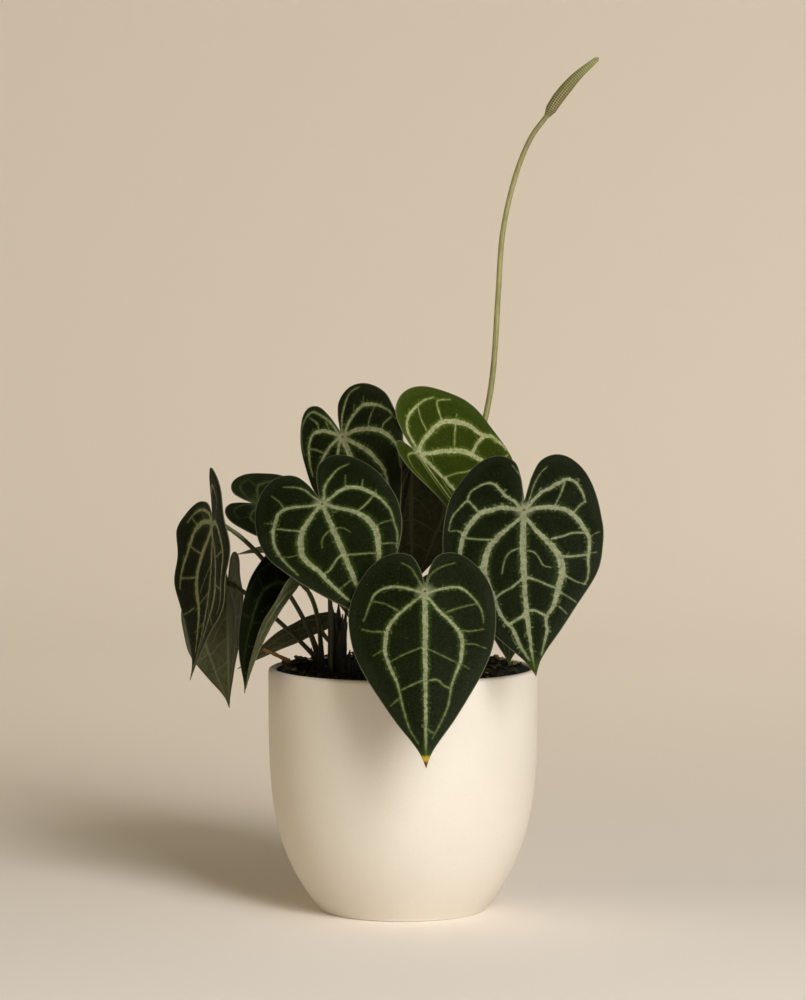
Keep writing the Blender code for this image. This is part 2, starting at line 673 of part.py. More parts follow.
def add_spadix():
    """The flower spike: a tapered, slightly curved rod covered by a net of floret bumps."""
    centre = even_samples(smooth_curve(SPADIX_ROUTE, 8), SPADIX_RINGS + 1) * MM
    shape = even_samples(smooth_curve([(k, r) for k, r in enumerate(SPADIX_RADII)], 8), SPADIX_RINGS + 1)
    vertices = []
    for k in range(SPADIX_RINGS + 1):
        ahead = Vector(centre[min(k + 1, SPADIX_RINGS)] - centre[max(k - 1, 0)]).normalized()
        side = ahead.cross(Vector((0, 1, 0))).normalized()
        other = ahead.cross(side)
        closing = 0.45 if k == SPADIX_RINGS else (0.85 if k == 0 else 1.0)
        for n in range(SPADIX_SIDES):
            bump = FLORET / 2 if (n + k) % 2 else -FLORET / 2
            radius = shape[k][1] * MM * closing + bump * min(k, 1)
            angle = 2 * pi * n / SPADIX_SIDES
            vertices.append(Vector(centre[k]) + side * radius * cos(angle) + other * radius * sin(angle))
    faces = []
    for k in range(SPADIX_RINGS):
        for n in range(SPADIX_SIDES):
            after = (n + 1) % SPADIX_SIDES
            a = k * SPADIX_SIDES + n
            b = k * SPADIX_SIDES + after
            c = b + SPADIX_SIDES
            d = a + SPADIX_SIDES
            faces += [(a, b, c), (a, c, d)]
    last = SPADIX_RINGS * SPADIX_SIDES
    faces.append(tuple(reversed(range(SPADIX_SIDES))))
    faces.append(tuple(range(last, last + SPADIX_SIDES)))
    spadix = add_mesh("spadix", vertices, faces, "spadix", smooth=False)
    bm = bmesh.new()
    bm.from_mesh(spadix.data)
    bmesh.ops.triangulate(bm, faces=bm.faces)
    bmesh.ops.recalc_face_normals(bm, faces=bm.faces)
    bm.to_mesh(spadix.data)
    bm.free()
    return spadix


def main():
    clear_scene()
    add_pot()
    add_soil()
    for name, crown in CROWNS.items():
        add_crown(f"crown_{name}", crown)
    for name, leaf in LEAVES.items():
        add_blade(f"leaf_{name}", leaf, "young_leaf" if name == "top_right" else "leaf")
        add_stalk(f"stalk_{name}", leaf)
    add_peduncle()
    add_spadix()
    add_dry_stalk()


main()
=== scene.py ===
"""Looks of the potted anthurium: fine leaves, pot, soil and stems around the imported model, and the studio.

Metres, +Z up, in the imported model's frame. The shape tables repeat those of the CAD source, so that each
fine piece lies where its solid does.
"""

import random
from itertools import product
from math import cos, pi, radians, sin

import bmesh
import bpy
import numpy as np
from mathutils import Matrix, Vector, geometry, noise


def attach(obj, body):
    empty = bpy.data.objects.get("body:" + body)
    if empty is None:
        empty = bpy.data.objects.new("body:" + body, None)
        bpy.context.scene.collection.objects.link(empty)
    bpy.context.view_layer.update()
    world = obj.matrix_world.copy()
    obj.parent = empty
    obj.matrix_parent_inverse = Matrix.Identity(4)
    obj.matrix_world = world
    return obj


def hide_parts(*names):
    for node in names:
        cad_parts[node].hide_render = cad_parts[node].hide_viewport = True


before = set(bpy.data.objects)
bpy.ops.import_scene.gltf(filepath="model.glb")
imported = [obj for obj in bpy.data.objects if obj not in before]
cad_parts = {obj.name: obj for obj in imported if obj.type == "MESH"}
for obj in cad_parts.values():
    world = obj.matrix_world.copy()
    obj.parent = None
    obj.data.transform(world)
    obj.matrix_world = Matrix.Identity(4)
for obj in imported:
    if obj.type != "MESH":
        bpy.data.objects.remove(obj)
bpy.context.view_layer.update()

MM = 0.001
UP = Vector((0.0, 0.0, 1.0))

# Pot and soil, as in the CAD source, and the foot's ring: how far in from its edge, and how high
POT_HEIGHT = 126 * MM
RIM_RADIUS = 70 * MM
FOOT_RADIUS = 43 * MM
ROUNDING = 4.1
WALL = 4 * MM
FLOOR = 7 * MM
FOOT_EDGE = 0.8 * MM
FOOT_RING = ((5 * MM, 1.2 * MM), (3.4 * MM, 0.3 * MM), (2.4 * MM, 0))
FLOOR_EDGE = 5 * MM
POT_SEGMENTS = 192
POT_RINGS = 44
SOIL_TOP = 125 * MM
SOIL_DISH = 1.5 * MM
SOIL_SEGMENTS = 120
SOIL_RINGS = 40
SOIL_CLEARANCE = 0.3 * MM

# Bumps of the soil, and its grain: frequency, level in the noise, and height
SOIL_BUMPS = ((90, 0, 1.1 * MM), (260, 5, 0.6 * MM))
SOIL_GRAIN = (700, 9, 0.7 * MM)

# Stems, as in the CAD source
STRAIGHT_TO = 124 * MM
STALK_FOOT_Z = 109 * MM
STALK_BASE = 2.0 * MM
STALK_MIDDLE = 1.2 * MM
STALK_JOINT = 1.5 * MM
STALK_STEPS = 60
STALK_END_GAP = 0.25 * MM
CROWNS = {
    "main": dict(centre=(-4 * MM, 5 * MM), radius=8.0 * MM, top=142 * MM, ring=12.5 * MM, sheaths=14,
                 scales=(-143, -108, -74, -38, 153, 184)),
    "side": dict(centre=(-34 * MM, 2 * MM), radius=5.4 * MM, top=140 * MM, ring=9.5 * MM, sheaths=12,
                 scales=(-84, -62, -40, -18, 6, 30, -131, 196)),
}
PEDUNCLE_SLOT = 14
PEDUNCLE_ROUTE = (
    (13, 16, 150), (27, 32, 200), (38.7, 45, 236), (44.7, 48, 258), (48.2, 48, 282), (50.5, 48, 318),
    (52.4, 48, 348), (56.2, 48, 369.3), (61.3, 48, 387.3), (67.8, 48, 402.4), (75.8, 48, 413.5),
)
PEDUNCLE_RADII = (1.8, 1.35)
SPADIX_ROUTE = ((76.3, 48, 414), (82.4, 48, 423.5), (91.9, 48, 434.6), (103.5, 48, 444.6))
SPADIX_RADII = (2.6, 3.0, 2.7, 1.1)
DRY_ROUTE = ((-58.5, 6, 126), (-61, 5, 129), (-66.5, 4, 132), (-73, 3, 135))
DRY_RADII = (1.5, 0.7)

# Half of a leaf's outline, as in the CAD source: across and along, in lengths of the midrib
HALF_LEAF = (
    (0.0, -0.05), (0.014, -0.11), (0.034, -0.18), (0.078, -0.262), (0.16, -0.30), (0.25, -0.285),
    (0.34, -0.215), (0.41, -0.10), (0.448, 0.04), (0.452, 0.18), (0.424, 0.33), (0.358, 0.475),
    (0.265, 0.62), (0.172, 0.75), (0.088, 0.85), (0.042, 0.91), (0.018, 0.955), (0.0, 1.0),
)

# The leaves, as in the CAD source: millimetres and degrees, with pairs for the left and the right half.
# look: the leaf's material. veins: its vein pattern. vein: factor on the widths of its veins. ripe: 1 gives
# it a yellow tip. What a leaf doesn't state is as in PLAIN_LEAF.
PLAIN_LEAF = dict(
    wide=(1.0, 1.0), lobe=(1.0, 1.0), roll=0, fold=(5, 5), curl=(-25, -25), lobe_bend=(10, 10),
    belly=(0.0, 0.0), crown="main", look="dark", veins="common", ripe=0,
)
LEAVES = {
    "front": dict(
        joint=(10.9, -83, 172.3), length=92, wide=(0.95, 0.86), lobe=(0.92, 0.90), heading=0, pitch=54,
        roll=-1, fold=(-11, -8), curl=(-26, -22), bend=22, lobe_bend=(20, 21), belly=(-0.02, -0.01),
        wave=(0.010, 0.3), slot=-92, rise=30, arrive=20, veins="front", vein=0.80, ripe=1,
    ),
    "left": dict(
        joint=(-41.3, -26, 212.2), length=82.5, wide=(1.00, 0.98), lobe=(1.12, 1.23), heading=24, pitch=39,
        roll=-22, fold=(4, 7), curl=(-43, -33), bend=13, lobe_bend=(7, 9), belly=(-0.02, 0.0),
        wave=(0.010, 1.4), crown="side", slot=-110, rise=45, arrive=24, veins="left", vein=0.80,
    ),
    "right": dict(
        joint=(60.7, -57, 211.1), length=87, wide=(1.05, 1.03), lobe=(1.29, 1.25), heading=-7, pitch=57,
        roll=-22, fold=(15, -19), curl=(0, -50), bend=31, lobe_bend=(30, -1), belly=(0.02, 0.03),
        wave=(0.014, 2.6), slot=-56, rise=42, arrive=14, look="pale_veined", veins="right", vein=0.78,
    ),
    "top_left": dict(
        joint=(-32, 40, 244), length=78, wide=(0.80, 1.02), lobe=(1.24, 0.93), heading=27, pitch=45,
        roll=-59, fold=(4, 9), curl=(-27, -17), bend=13, lobe_bend=(-21, -8), belly=(0.0, -0.01),
        wave=(0.010, 3.9), slot=200, rise=60, arrive=20, veins="top_left", vein=0.9,
    ),
    "top_right": dict(
        joint=(8, 12, 236.3), length=98, wide=(0.62, 1.10), lobe=(0.52, 0.94), heading=98, pitch=44,
        roll=-36, fold=(0, 19), curl=(95, 2), bend=14, lobe_bend=(-60, -25), belly=(0.16, 0.03),
        wave=(0.008, 5.1), slot=235, rise=60, arrive=18, look="young", veins="top_right", vein=0.76,
    ),
    "far_left": dict(
        joint=(-97.5, -20, 202), length=82, wide=(1.10, 1.06), lobe=(0.50, 1.20), heading=-75, pitch=92,
        roll=-5, fold=(9, 5), curl=(50, -40), bend=-21, lobe_bend=(-5, -15), belly=(0.12, 0.11),
        wave=(0.010, 0.9), crown="side", slot=176, rise=25, arrive=16, veins="far_left", vein=1.3,
    ),
    "far_left_low": dict(
        joint=(-92.3, 28, 167.2), length=66, wide=(1.0, 0.98), lobe=(0.80, 0.70), heading=-118, pitch=89,
        roll=-5, fold=(23, 20), curl=(-6, -6), bend=3, lobe_bend=(5, 5), belly=(0.02, 0.12),
        wave=(0.012, 2.2), crown="side", slot=140, rise=4, arrive=9, vein=0.75,
    ),
    "left_behind": dict(
        joint=(-77.2, 45, 208), length=54, wide=(0.92, 0.92), heading=90, pitch=12, roll=-45, fold=(8, 8),
        bend=14, lobe_bend=(5, 5), wave=(0.010, 3.3), slot=168, rise=34, arrive=24, look="shaded", vein=0.7,
    ),
    "left_folded": dict(
        joint=(-52.4, -26.5, 172.2), length=64, wide=(0.90, 0.95), lobe=(0.8, 0.8), heading=-72, pitch=48,
        fold=(48, 28), curl=(-10, -10), bend=28, lobe_bend=(5, 5), belly=(-0.15, 0.0), wave=(0.010, 4.4),
        crown="side", slot=-152, rise=22, arrive=12, look="shaded", vein=0.7,
    ),
    "left_low": dict(
        joint=(-44, 31, 144), length=50, wide=(0.5, 0.6), lobe=(0.8, 0.8), heading=-100, pitch=24, roll=-24,
        fold=(12, 12), curl=(-20, -20), bend=8, lobe_bend=(5, 5), wave=(0.014, 5.6), crown="side", slot=60,
        rise=8, arrive=9, look="shaded", vein=0.6,
    ),
    "left_back": dict(
        joint=(-53.2, 69, 183.6), length=38, wide=(0.85, 0.85), heading=-96, pitch=2, roll=-14, bend=10,
        wave=(0.012, 1.9), slot=138, rise=30, arrive=12, look="shaded", vein=0.6,
    ),
    "right_inner": dict(
        joint=(55, -6, 170), length=43, wide=(0.9, 0.9), lobe=(0.8, 0.8), heading=25, pitch=88, fold=(8, 8),
        bend=6, wave=(0.012, 2.9), slot=-20, rise=30, arrive=15, look="shaded", vein=0.7,
    ),
    "back": dict(
        joint=(4, 52, 229), length=74, lobe=(0.9, 0.9), heading=178, pitch=66, bend=10, belly=(0.06, 0.06),
        wave=(0.010, 0.6), slot=108, rise=50, arrive=18, vein=0.8,
    ),
    "back_right": dict(
        joint=(56, 66, 190), length=70, heading=142, pitch=42, bend=20, wave=(0.012, 3.6), slot=46, rise=30,
        arrive=20, look="pale_veined", vein=0.9,
    ),
    "back_low": dict(
        joint=(6, 52, 160), length=62, lobe=(0.9, 0.9), heading=186, pitch=44, bend=20, wave=(0.012, 4.9),
        slot=77, rise=16, arrive=16, vein=0.8,
    ),
}

# Vein patterns, named after their leaves. Each line of a half has its half-widths, spread evenly along it,
# in hundredths of a millimetre, and its points: across and along, in hundredths of the midrib's length. A
# pattern is the midrib's half-widths and the lines of the two halves.
COMMON_HALF = (
    ((100, 110, 60, 20), ((1, 2), (7, 8), (15, 14), (21, 21), (24, 31), (22, 42), (17, 55), (13, 67),
     (8, 80), (4, 89))),
    ((80, 90, 50, 20), ((2, 0), (10, -2), (18, -4), (25, -3), (31, 3), (36, 12), (38, 22), (37, 33),
     (34, 44))),
    ((60, 50, 20), ((2, -3), (5, -11), (10, -17), (16, -21), (22, -20), (29, -15))),
    ((30, 20), ((0, 25), (6, 29), (12, 36), (14, 41))),
    ((35, 20), ((0, 43), (8, 46), (17, 52))),
    ((30, 20), ((0, 62), (5, 64), (12, 68))),
    ((30, 25), ((17, 16), (25, 12), (34, 7))),
    ((30, 25), ((24, 29), (31, 28), (37, 27))),
    ((30, 20), ((20, 50), (26, 52), (31, 53))),
    ((25, 20), ((22, -4), (25, -9), (29, -15))),
)
FRONT_LEFT_HALF = (
    ((70, 100, 125, 90, 55, 40, 20), ((2, 3), (9, 8), (16, 14), (21, 20), (23, 28), (23, 36), (20, 45),
     (16, 54), (14, 62), (12, 70), (9, 79), (4, 87))),
    ((70, 85, 60, 25), ((2, 1), (8, -2), (16, -5), (24, -5), (29, -2), (32, 4), (34, 10), (36, 15))),
    ((35, 30, 15), ((2, -4), (5, -11), (8, -17), (14, -22))),
    ((25, 35), ((31, 3), (23, 6), (14, 12))),
    ((20, 35), ((37, 20), (31, 22), (24, 23))),
    ((30, 22), ((0, 33), (11, 37), (20, 41))),
    ((40, 30), ((0, 52), (8, 55), (15, 58))),
    ((15, 30), ((30, 37), (23, 33))),
    ((25, 15), ((15, 62), (20, 66))),
)
FRONT_RIGHT_HALF = (
    ((70, 100, 120, 80, 50, 35, 20), ((2, 4), (8, 11), (15, 17), (20, 22), (23, 28), (23, 34), (22, 41),
     (19, 48), (16, 56), (14, 66), (9, 76), (4, 84))),
    ((70, 85, 55, 25), ((2, 1), (10, -2), (19, -4), (24, -3), (29, 1), (33, 5), (36, 10), (37, 17))),
    ((35, 30, 15), ((1, -4), (3, -11), (9, -17), (19, -22))),
    ((35, 20), ((12, 13), (22, 9), (32, 6))),
    ((35, 20), ((22, 23), (29, 23), (37, 21))),
    ((25, 20), ((0, 34), (12, 39), (22, 43))),
    ((40, 35), ((0, 53), (7, 52), (11, 55), (16, 57))),
    ((30, 20), ((0, 78), (5, 82))),
    ((25, 15), ((23, 31), (31, 31), (38, 33))),
    ((25, 15), ((21, 42), (27, 45))),
)
LEFT_LEFT_HALF = (
    ((100, 140, 190, 170, 120, 90, 50), ((1, 1), (7, 6), (14, 13), (19, 19), (22, 27), (24, 36), (22, 44),
     (18, 52), (16, 59), (13, 67), (10, 74), (6, 82))),
    ((90, 115, 90, 75, 35), ((2, 0), (9, -1), (16, -3), (22, -4), (28, -2), (31, 3), (35, 10), (37, 18),
     (37, 27), (35, 38), (31, 49))),
    ((60, 55, 30), ((1, -3), (4, -8), (7, -14), (12, -18), (18, -21))),
    ((35, 20), ((23, -4), (24, -11), (27, -18))),
    ((45, 50), ((32, 9), (26, 13), (20, 17))),
    ((25, 25), ((37, 31), (32, 34), (26, 35))),
    ((70, 50, 60), ((0, 43), (6, 47), (12, 53), (17, 54))),
    ((35, 20), ((0, 22), (5, 25), (9, 29), (11, 35))),
    ((30, 12), ((33, 4), (38, 1))),
    ((30, 20), ((0, 63), (6, 66), (12, 69))),
)
LEFT_RIGHT_HALF = (
    ((100, 130, 180, 170, 120, 70, 40), ((1, 1), (7, 7), (13, 12), (18, 17), (22, 24), (24, 31), (24, 38),
     (22, 46), (20, 53), (16, 62), (11, 72), (5, 84))),
    ((90, 130, 120, 70, 45, 30), ((2, 0), (8, -2), (14, -4), (20, -4), (27, -1), (32, 5), (35, 10),
     (37, 17), (38, 24), (37, 34), (36, 42), (32, 52))),
    ((75, 70, 35), ((2, -2), (6, -10), (12, -15), (19, -19), (26, -20))),
    ((50, 55, 20), ((19, 16), (26, 12), (33, 6), (35, 3))),
    ((35, 20), ((24, 32), (30, 31), (36, 31))),
    ((40, 30), ((24, 46), (29, 47), (34, 49))),
    ((50, 45, 55), ((0, 45), (9, 48), (18, 51))),
    ((25, 15), ((0, 22), (6, 25), (9, 30))),
    ((35, 12), ((27, -1), (30, -6))),
    ((30, 12), ((18, -5), (21, -13))),
)
RIGHT_LEFT_HALF = (
    ((100, 130, 190, 210, 150, 100, 90, 90, 50), ((1, 5), (6, 9), (11, 13), (15, 17), (19, 22), (21, 28),
     (22, 34), (21, 40), (19, 46), (17, 52), (15, 60), (12, 66), (9, 70), (7, 76), (5, 83), (2, 90))),
    ((120, 150, 170, 140, 90, 50), ((2, 0), (7, -1), (13, -2), (18, -1), (24, 0), (28, 4), (32, 9),
     (34, 15), (35, 22), (35, 32), (32, 44))),
    ((80, 90, 80, 55, 50), ((2, -1), (6, -5), (11, -8), (15, -12), (20, -15), (25, -14), (29, -12),
     (31, -10), (32, -7))),
    ((30, 30, 15), ((1, -3), (1, -9), (3, -17), (7, -22), (9, -24))),
    ((60, 45, 25), ((26, -1), (29, -4), (32, -6), (36, -3), (40, 1), (42, 8))),
    ((35, 20), ((33, 12), (37, 9), (41, 9))),
    ((50, 40, 60), ((32, 14), (24, 16), (17, 17))),
    ((45, 40, 25), ((1, 24), (7, 26), (10, 30), (12, 38))),
    ((80, 50, 70), ((1, 43), (7, 47), (12, 49), (17, 52))),
    ((90, 70, 90), ((10, 68), (6, 66), (3, 65), (0, 62))),
    ((30, 20), ((22, 32), (28, 33), (34, 32))),
    ((30, 15), ((17, 54), (22, 57))),
)
RIGHT_RIGHT_HALF = (
    ((100, 130, 190, 220, 190, 130, 90, 70, 35), ((1, 5), (5, 10), (9, 15), (13, 19), (17, 24), (20, 29),
     (21, 34), (21, 40), (19, 47), (17, 54), (15, 60), (12, 64), (10, 68), (10, 74), (8, 80), (5, 88))),
    ((120, 140, 160, 140, 90, 60, 35), ((1, 1), (7, -1), (14, -2), (22, -2), (27, 0), (31, 4), (34, 9),
     (37, 15), (37, 22), (36, 30), (36, 36), (35, 42), (33, 46))),
    ((80, 90, 120, 80, 50), ((1, 0), (5, -5), (9, -9), (14, -12), (19, -15), (23, -17), (28, -16),
     (31, -13), (33, -10), (34, -7))),
    ((35, 30, 15), ((1, -1), (3, -6), (5, -13), (8, -19), (12, -23))),
    ((50, 30), ((22, -15), (20, -9), (17, -3))),
    ((50, 40), ((34, -7), (31, -5), (28, -1))),
    ((70, 50, 70), ((16, 18), (22, 16), (28, 13), (35, 12))),
    ((90, 60, 70), ((21, 29), (28, 28), (36, 26))),
    ((60, 40, 30), ((21, 39), (28, 44), (34, 46))),
    ((45, 35, 25, 15), ((1, 26), (6, 27), (9, 31), (11, 35), (15, 36))),
    ((80, 50, 70), ((1, 42), (7, 44), (13, 47), (18, 49))),
    ((50, 35, 20), ((17, 50), (22, 53), (28, 58))),
    ((40, 30, 15), ((15, 59), (19, 61), (22, 65))),
    ((90, 60, 80), ((0, 62), (5, 62), (8, 64), (11, 66))),
    ((30, 15), ((37, 15), (40, 12), (43, 10))),
    ((30, 15), ((36, 25), (41, 24))),
)
TOP_LEFT_LEFT_HALF = (
    ((80, 80, 60, 30), ((2, 1), (6, 5), (10, 10), (14, 19), (17, 31), (14, 48), (9, 66))),
    ((80, 100, 80, 40), ((2, -1), (12, 0), (19, 2), (26, 5), (33, 9), (37, 17))),
    ((80, 105, 80, 60, 35), ((2, -2), (9, -8), (15, -12), (24, -14), (30, -11), (34, -7), (37, -2), (39, 3),
     (40, 11))),
    ((60, 55, 50, 30, 20), ((2, -4), (4, -11), (6, -16), (10, -21), (15, -26), (22, -26), (30, -23),
     (36, -16), (40, -7))),
    ((35, 35), ((33, -8), (27, -4), (22, 1))),
    ((35, 25), ((17, -13), (16, -18), (20, -24))),
    ((35, 25), ((8, -8), (8, -15))),
    ((30, 20), ((10, 12), (17, 16), (24, 20))),
)
TOP_LEFT_RIGHT_HALF = (
    ((100, 125, 110, 50, 30), ((2, 3), (7, 12), (11, 19), (15, 28), (17, 36), (19, 46), (16, 58), (11, 72),
     (5, 86))),
    ((100, 125, 120, 70, 30), ((2, 1), (11, 4), (17, 8), (23, 13), (29, 20), (32, 26), (34, 32), (35, 42),
     (31, 54))),
    ((90, 100, 95, 60, 30), ((2, 0), (11, -6), (18, -8), (25, -8), (31, -3), (36, 3), (39, 8), (42, 14),
     (43, 21))),
    ((65, 60, 55, 30), ((1, -3), (6, -13), (11, -19), (17, -24), (22, -25), (28, -23))),
    ((40, 35), ((22, 11), (27, 5), (33, 1))),
    ((40, 35), ((30, 21), (34, 18), (41, 18))),
    ((20, 12), ((25, -8), (28, -14))),
    ((20, 12), ((17, -10), (19, -14))),
    ((40, 25), ((0, 40), (8, 43), (17, 48))),
    ((35, 20), ((0, 62), (7, 64), (13, 66))),
)
TOP_RIGHT_LEFT_HALF = (
    ((90, 80, 110, 120, 70, 30), ((2, 3), (7, 8), (13, 17), (18, 26), (22, 34), (24, 42), (20, 56),
     (12, 74))),
    ((40, 35, 30), ((2, 0), (8, 3), (16, 11), (24, 21), (30, 32), (33, 44), (30, 58))),
    ((50, 40, 30), ((2, -3), (10, -10), (20, -14), (30, -8), (37, 4))),
    ((35, 30), ((1, 17), (5, 18), (9, 23), (11, 33))),
)
TOP_RIGHT_RIGHT_HALF = (
    ((120, 150, 180, 170, 150, 90, 50, 30), ((1, 1), (6, 5), (12, 9), (17, 13), (22, 18), (25, 25),
     (27, 33), (26, 43), (21, 56), (14, 70), (6, 85))),
    ((120, 130, 160, 170, 140, 100, 50, 35), ((1, -1), (8, -3), (18, -3), (24, -2), (29, 2), (34, 8),
     (36, 14), (38, 19), (41, 22), (42, 27), (42, 32), (41, 40), (37, 50))),
    ((70, 80, 80, 40), ((2, -4), (4, -11), (7, -16), (13, -19), (20, -19), (26, -18), (32, -15))),
    ((120, 90, 100), ((24, 21), (31, 19), (38, 19))),
    ((35, 35), ((20, -18), (16, -12), (13, -4))),
    ((30, 45, 55, 40), ((38, -7), (32, -12), (28, -8), (25, -3))),
    ((50, 35, 40), ((29, 4), (23, 8), (18, 12))),
    ((40, 35), ((26, 31), (33, 33), (40, 35))),
    ((45, 35, 35), ((1, 19), (8, 22), (15, 26), (23, 28))),
    ((40, 12), ((29, 3), (34, 1))),
    ((40, 30), ((0, 42), (9, 45), (21, 50))),
    ((35, 25), ((0, 62), (7, 64), (14, 67))),
)
FAR_LEFT_LEFT_HALF = (
    ((90, 110, 100, 60, 30), ((1, 2), (8, 8), (16, 15), (21, 24), (20, 37), (14, 51), (9, 67), (4, 82))),
    ((80, 90, 60, 30), ((1, -1), (9, -5), (18, -5), (27, 2), (34, 10), (38, 20), (37, 34))),
    ((60, 50, 25), ((1, -4), (6, -14), (14, -20), (24, -19), (33, -10))),
)
VEINS = {
    "common": ((150, 140, 90, 30), COMMON_HALF, COMMON_HALF),
    "front": ((135, 150, 130, 100, 75, 30), FRONT_LEFT_HALF, FRONT_RIGHT_HALF),
    "left": ((120, 150, 170, 150, 100, 40), LEFT_LEFT_HALF, LEFT_RIGHT_HALF),
    "right": ((140, 180, 200, 190, 150, 130, 120, 80, 35), RIGHT_LEFT_HALF, RIGHT_RIGHT_HALF),
    "top_left": ((140, 180, 170, 100, 40), TOP_LEFT_LEFT_HALF, TOP_LEFT_RIGHT_HALF),
    "top_right": ((150, 140, 150, 130, 90, 40), TOP_RIGHT_LEFT_HALF, TOP_RIGHT_RIGHT_HALF),
    "far_left": ((140, 150, 130, 90, 35), FAR_LEFT_LEFT_HALF + COMMON_HALF[3:], COMMON_HALF),
}

# Short spurs beside the wide veins: how far apart, how long, and their half-widths, in millimetres
SPUR_GAP = 1.3
SPUR_LENGTHS = (0.5, 2.0)
SPUR_WIDTHS = (0.26, 0.04)
SPUR_FROM = 0.55

# Blade: thickness, the part of it left at the margin, spacing of its points, and its relief, in millimetres
BLADE = 0.66
EDGE_BLADE = 0.55
EDGE_STEP = 1.0
VEIN_STEP = 1.1
GRID_STEP = 1.2
POINT_CLEARANCE = 0.42
RIDGE = 0.42
GROOVE = 0.10
QUILT = 0.45
QUILT_REACH = 3.2
WRINKLE = 0.16
WRINKLE_FREQUENCY = 0.28

# The midrib's points, and how far the points beside a vein lie from its middle, in its half-widths
MIDRIB = ((0, -1), (0, 30), (0, 65), (0, 95))
BESIDE = (-2.1, -1.0, -0.5, 0.5, 1.0, 2.1)

# Bends of a blade, in lengths of the midrib: reach of the lobes behind the joint, greatest half-width, how
# far out the belly is full, and the waves of the margin in radians a length
LOBES = 0.3
HALF_WIDTH = 0.45
BELLY_FROM = 0.4
WAVES = 16

# Camera: place, downward pitch, and focal length for a 36 mm frame
CAMERA_PLACE = (0.0, -1.740, 0.312)
CAMERA_PITCH = 3.26
CAMERA_LENS = 120.96

# Key light: its direction from the front towards +X, its height in degrees, its distance and its aim
KEY_AZIMUTH = 29
KEY_ELEVATION = 22
KEY_DISTANCE = 2.3
KEY_AIM = (0.0, 0.0, 0.2)

# Lights: size in metres, power in watts and colour, with the place and the aim of the other two
KEY = dict(size=(0.8, 2.1), power=64, colour=(1.0, 1.0, 1.0))
FILL = dict(
    place=(-2.1, -0.8, 0.65), aim=(0.0, 0.0, 0.15), size=(1.6, 1.5), power=9, colour=(1.0, 0.84, 0.57),
)
BACKDROP = dict(
    place=(0.8, 0.7, 1.9), aim=(0.7, 3.2, 1.1), size=(2.4, 0.6), power=28, colour=(1.0, 0.94, 0.83),
)
WORLD_COLOUR = (1.0, 0.88, 0.62, 1.0)
WORLD_STRENGTH = 0.15

# Studio: a round floor that turns up into a wall along a wide bend, up to this turn in degrees
STUDIO_FLOOR = 1.4
STUDIO_BEND = 2.6
STUDIO_TURN = 64
STUDIO_RINGS = 32
STUDIO_SEGMENTS = 96


def add_object(name, data):
    obj = bpy.data.objects.new(name, data)
    bpy.context.scene.collection.objects.link(obj)
    return obj


def add_mesh(name, vertices, faces, material, sharp_from=60):
    mesh = bpy.data.meshes.new(name)
    mesh.from_pydata([tuple(v) for v in vertices], [], [tuple(f) for f in faces])
    mesh.update()
    mesh.shade_smooth()
    mesh.set_sharp_from_angle(angle=radians(sharp_from))
    mesh.materials.append(material)
    return add_object(name, mesh)


def add_field(obj, name, values):
    """A number at each vertex, which the materials read."""
    field = obj.data.attributes.new(name, "FLOAT", "POINT")
    field.data.foreach_set("value", np.asarray(values, np.float32))


def stand_for(obj, slot, *nodes):
    """Puts the piece in the place of its CAD nodes."""
    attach(obj, "root")
    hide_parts(*nodes)
    return obj


def smooth_curve(points, steps):
    """Catmull-Rom curve through the points, with steps samples a span."""
    points = np.asarray(points, float)
    padded = np.vstack([2 * points[0] - points[1], points, 2 * points[-1] - points[-2]])
    t = np.linspace(0, 1, steps, endpoint=False)[:, None]
    out = []
    for a, b, c, d in zip(padded, padded[1:], padded[2:], padded[3:]):
        square = (2 * a - 5 * b + 4 * c - d) * t**2
        out.append(0.5 * (2 * b + (c - a) * t + square + (3 * b - a - 3 * c + d) * t**3))
    return np.vstack(out + [points[-1:]])


def curve_length(curve):
    return np.linalg.norm(np.diff(curve, axis=0), axis=1).sum()


def even_samples(curve, count):
    """count points at even distances along a curve of many points."""
    lengths = np.concatenate([[0], np.cumsum(np.linalg.norm(np.diff(curve, axis=0), axis=1))])
    wanted = np.linspace(0, lengths[-1], count)
    return np.stack([np.interp(wanted, lengths, axis) for axis in curve.T], axis=1)


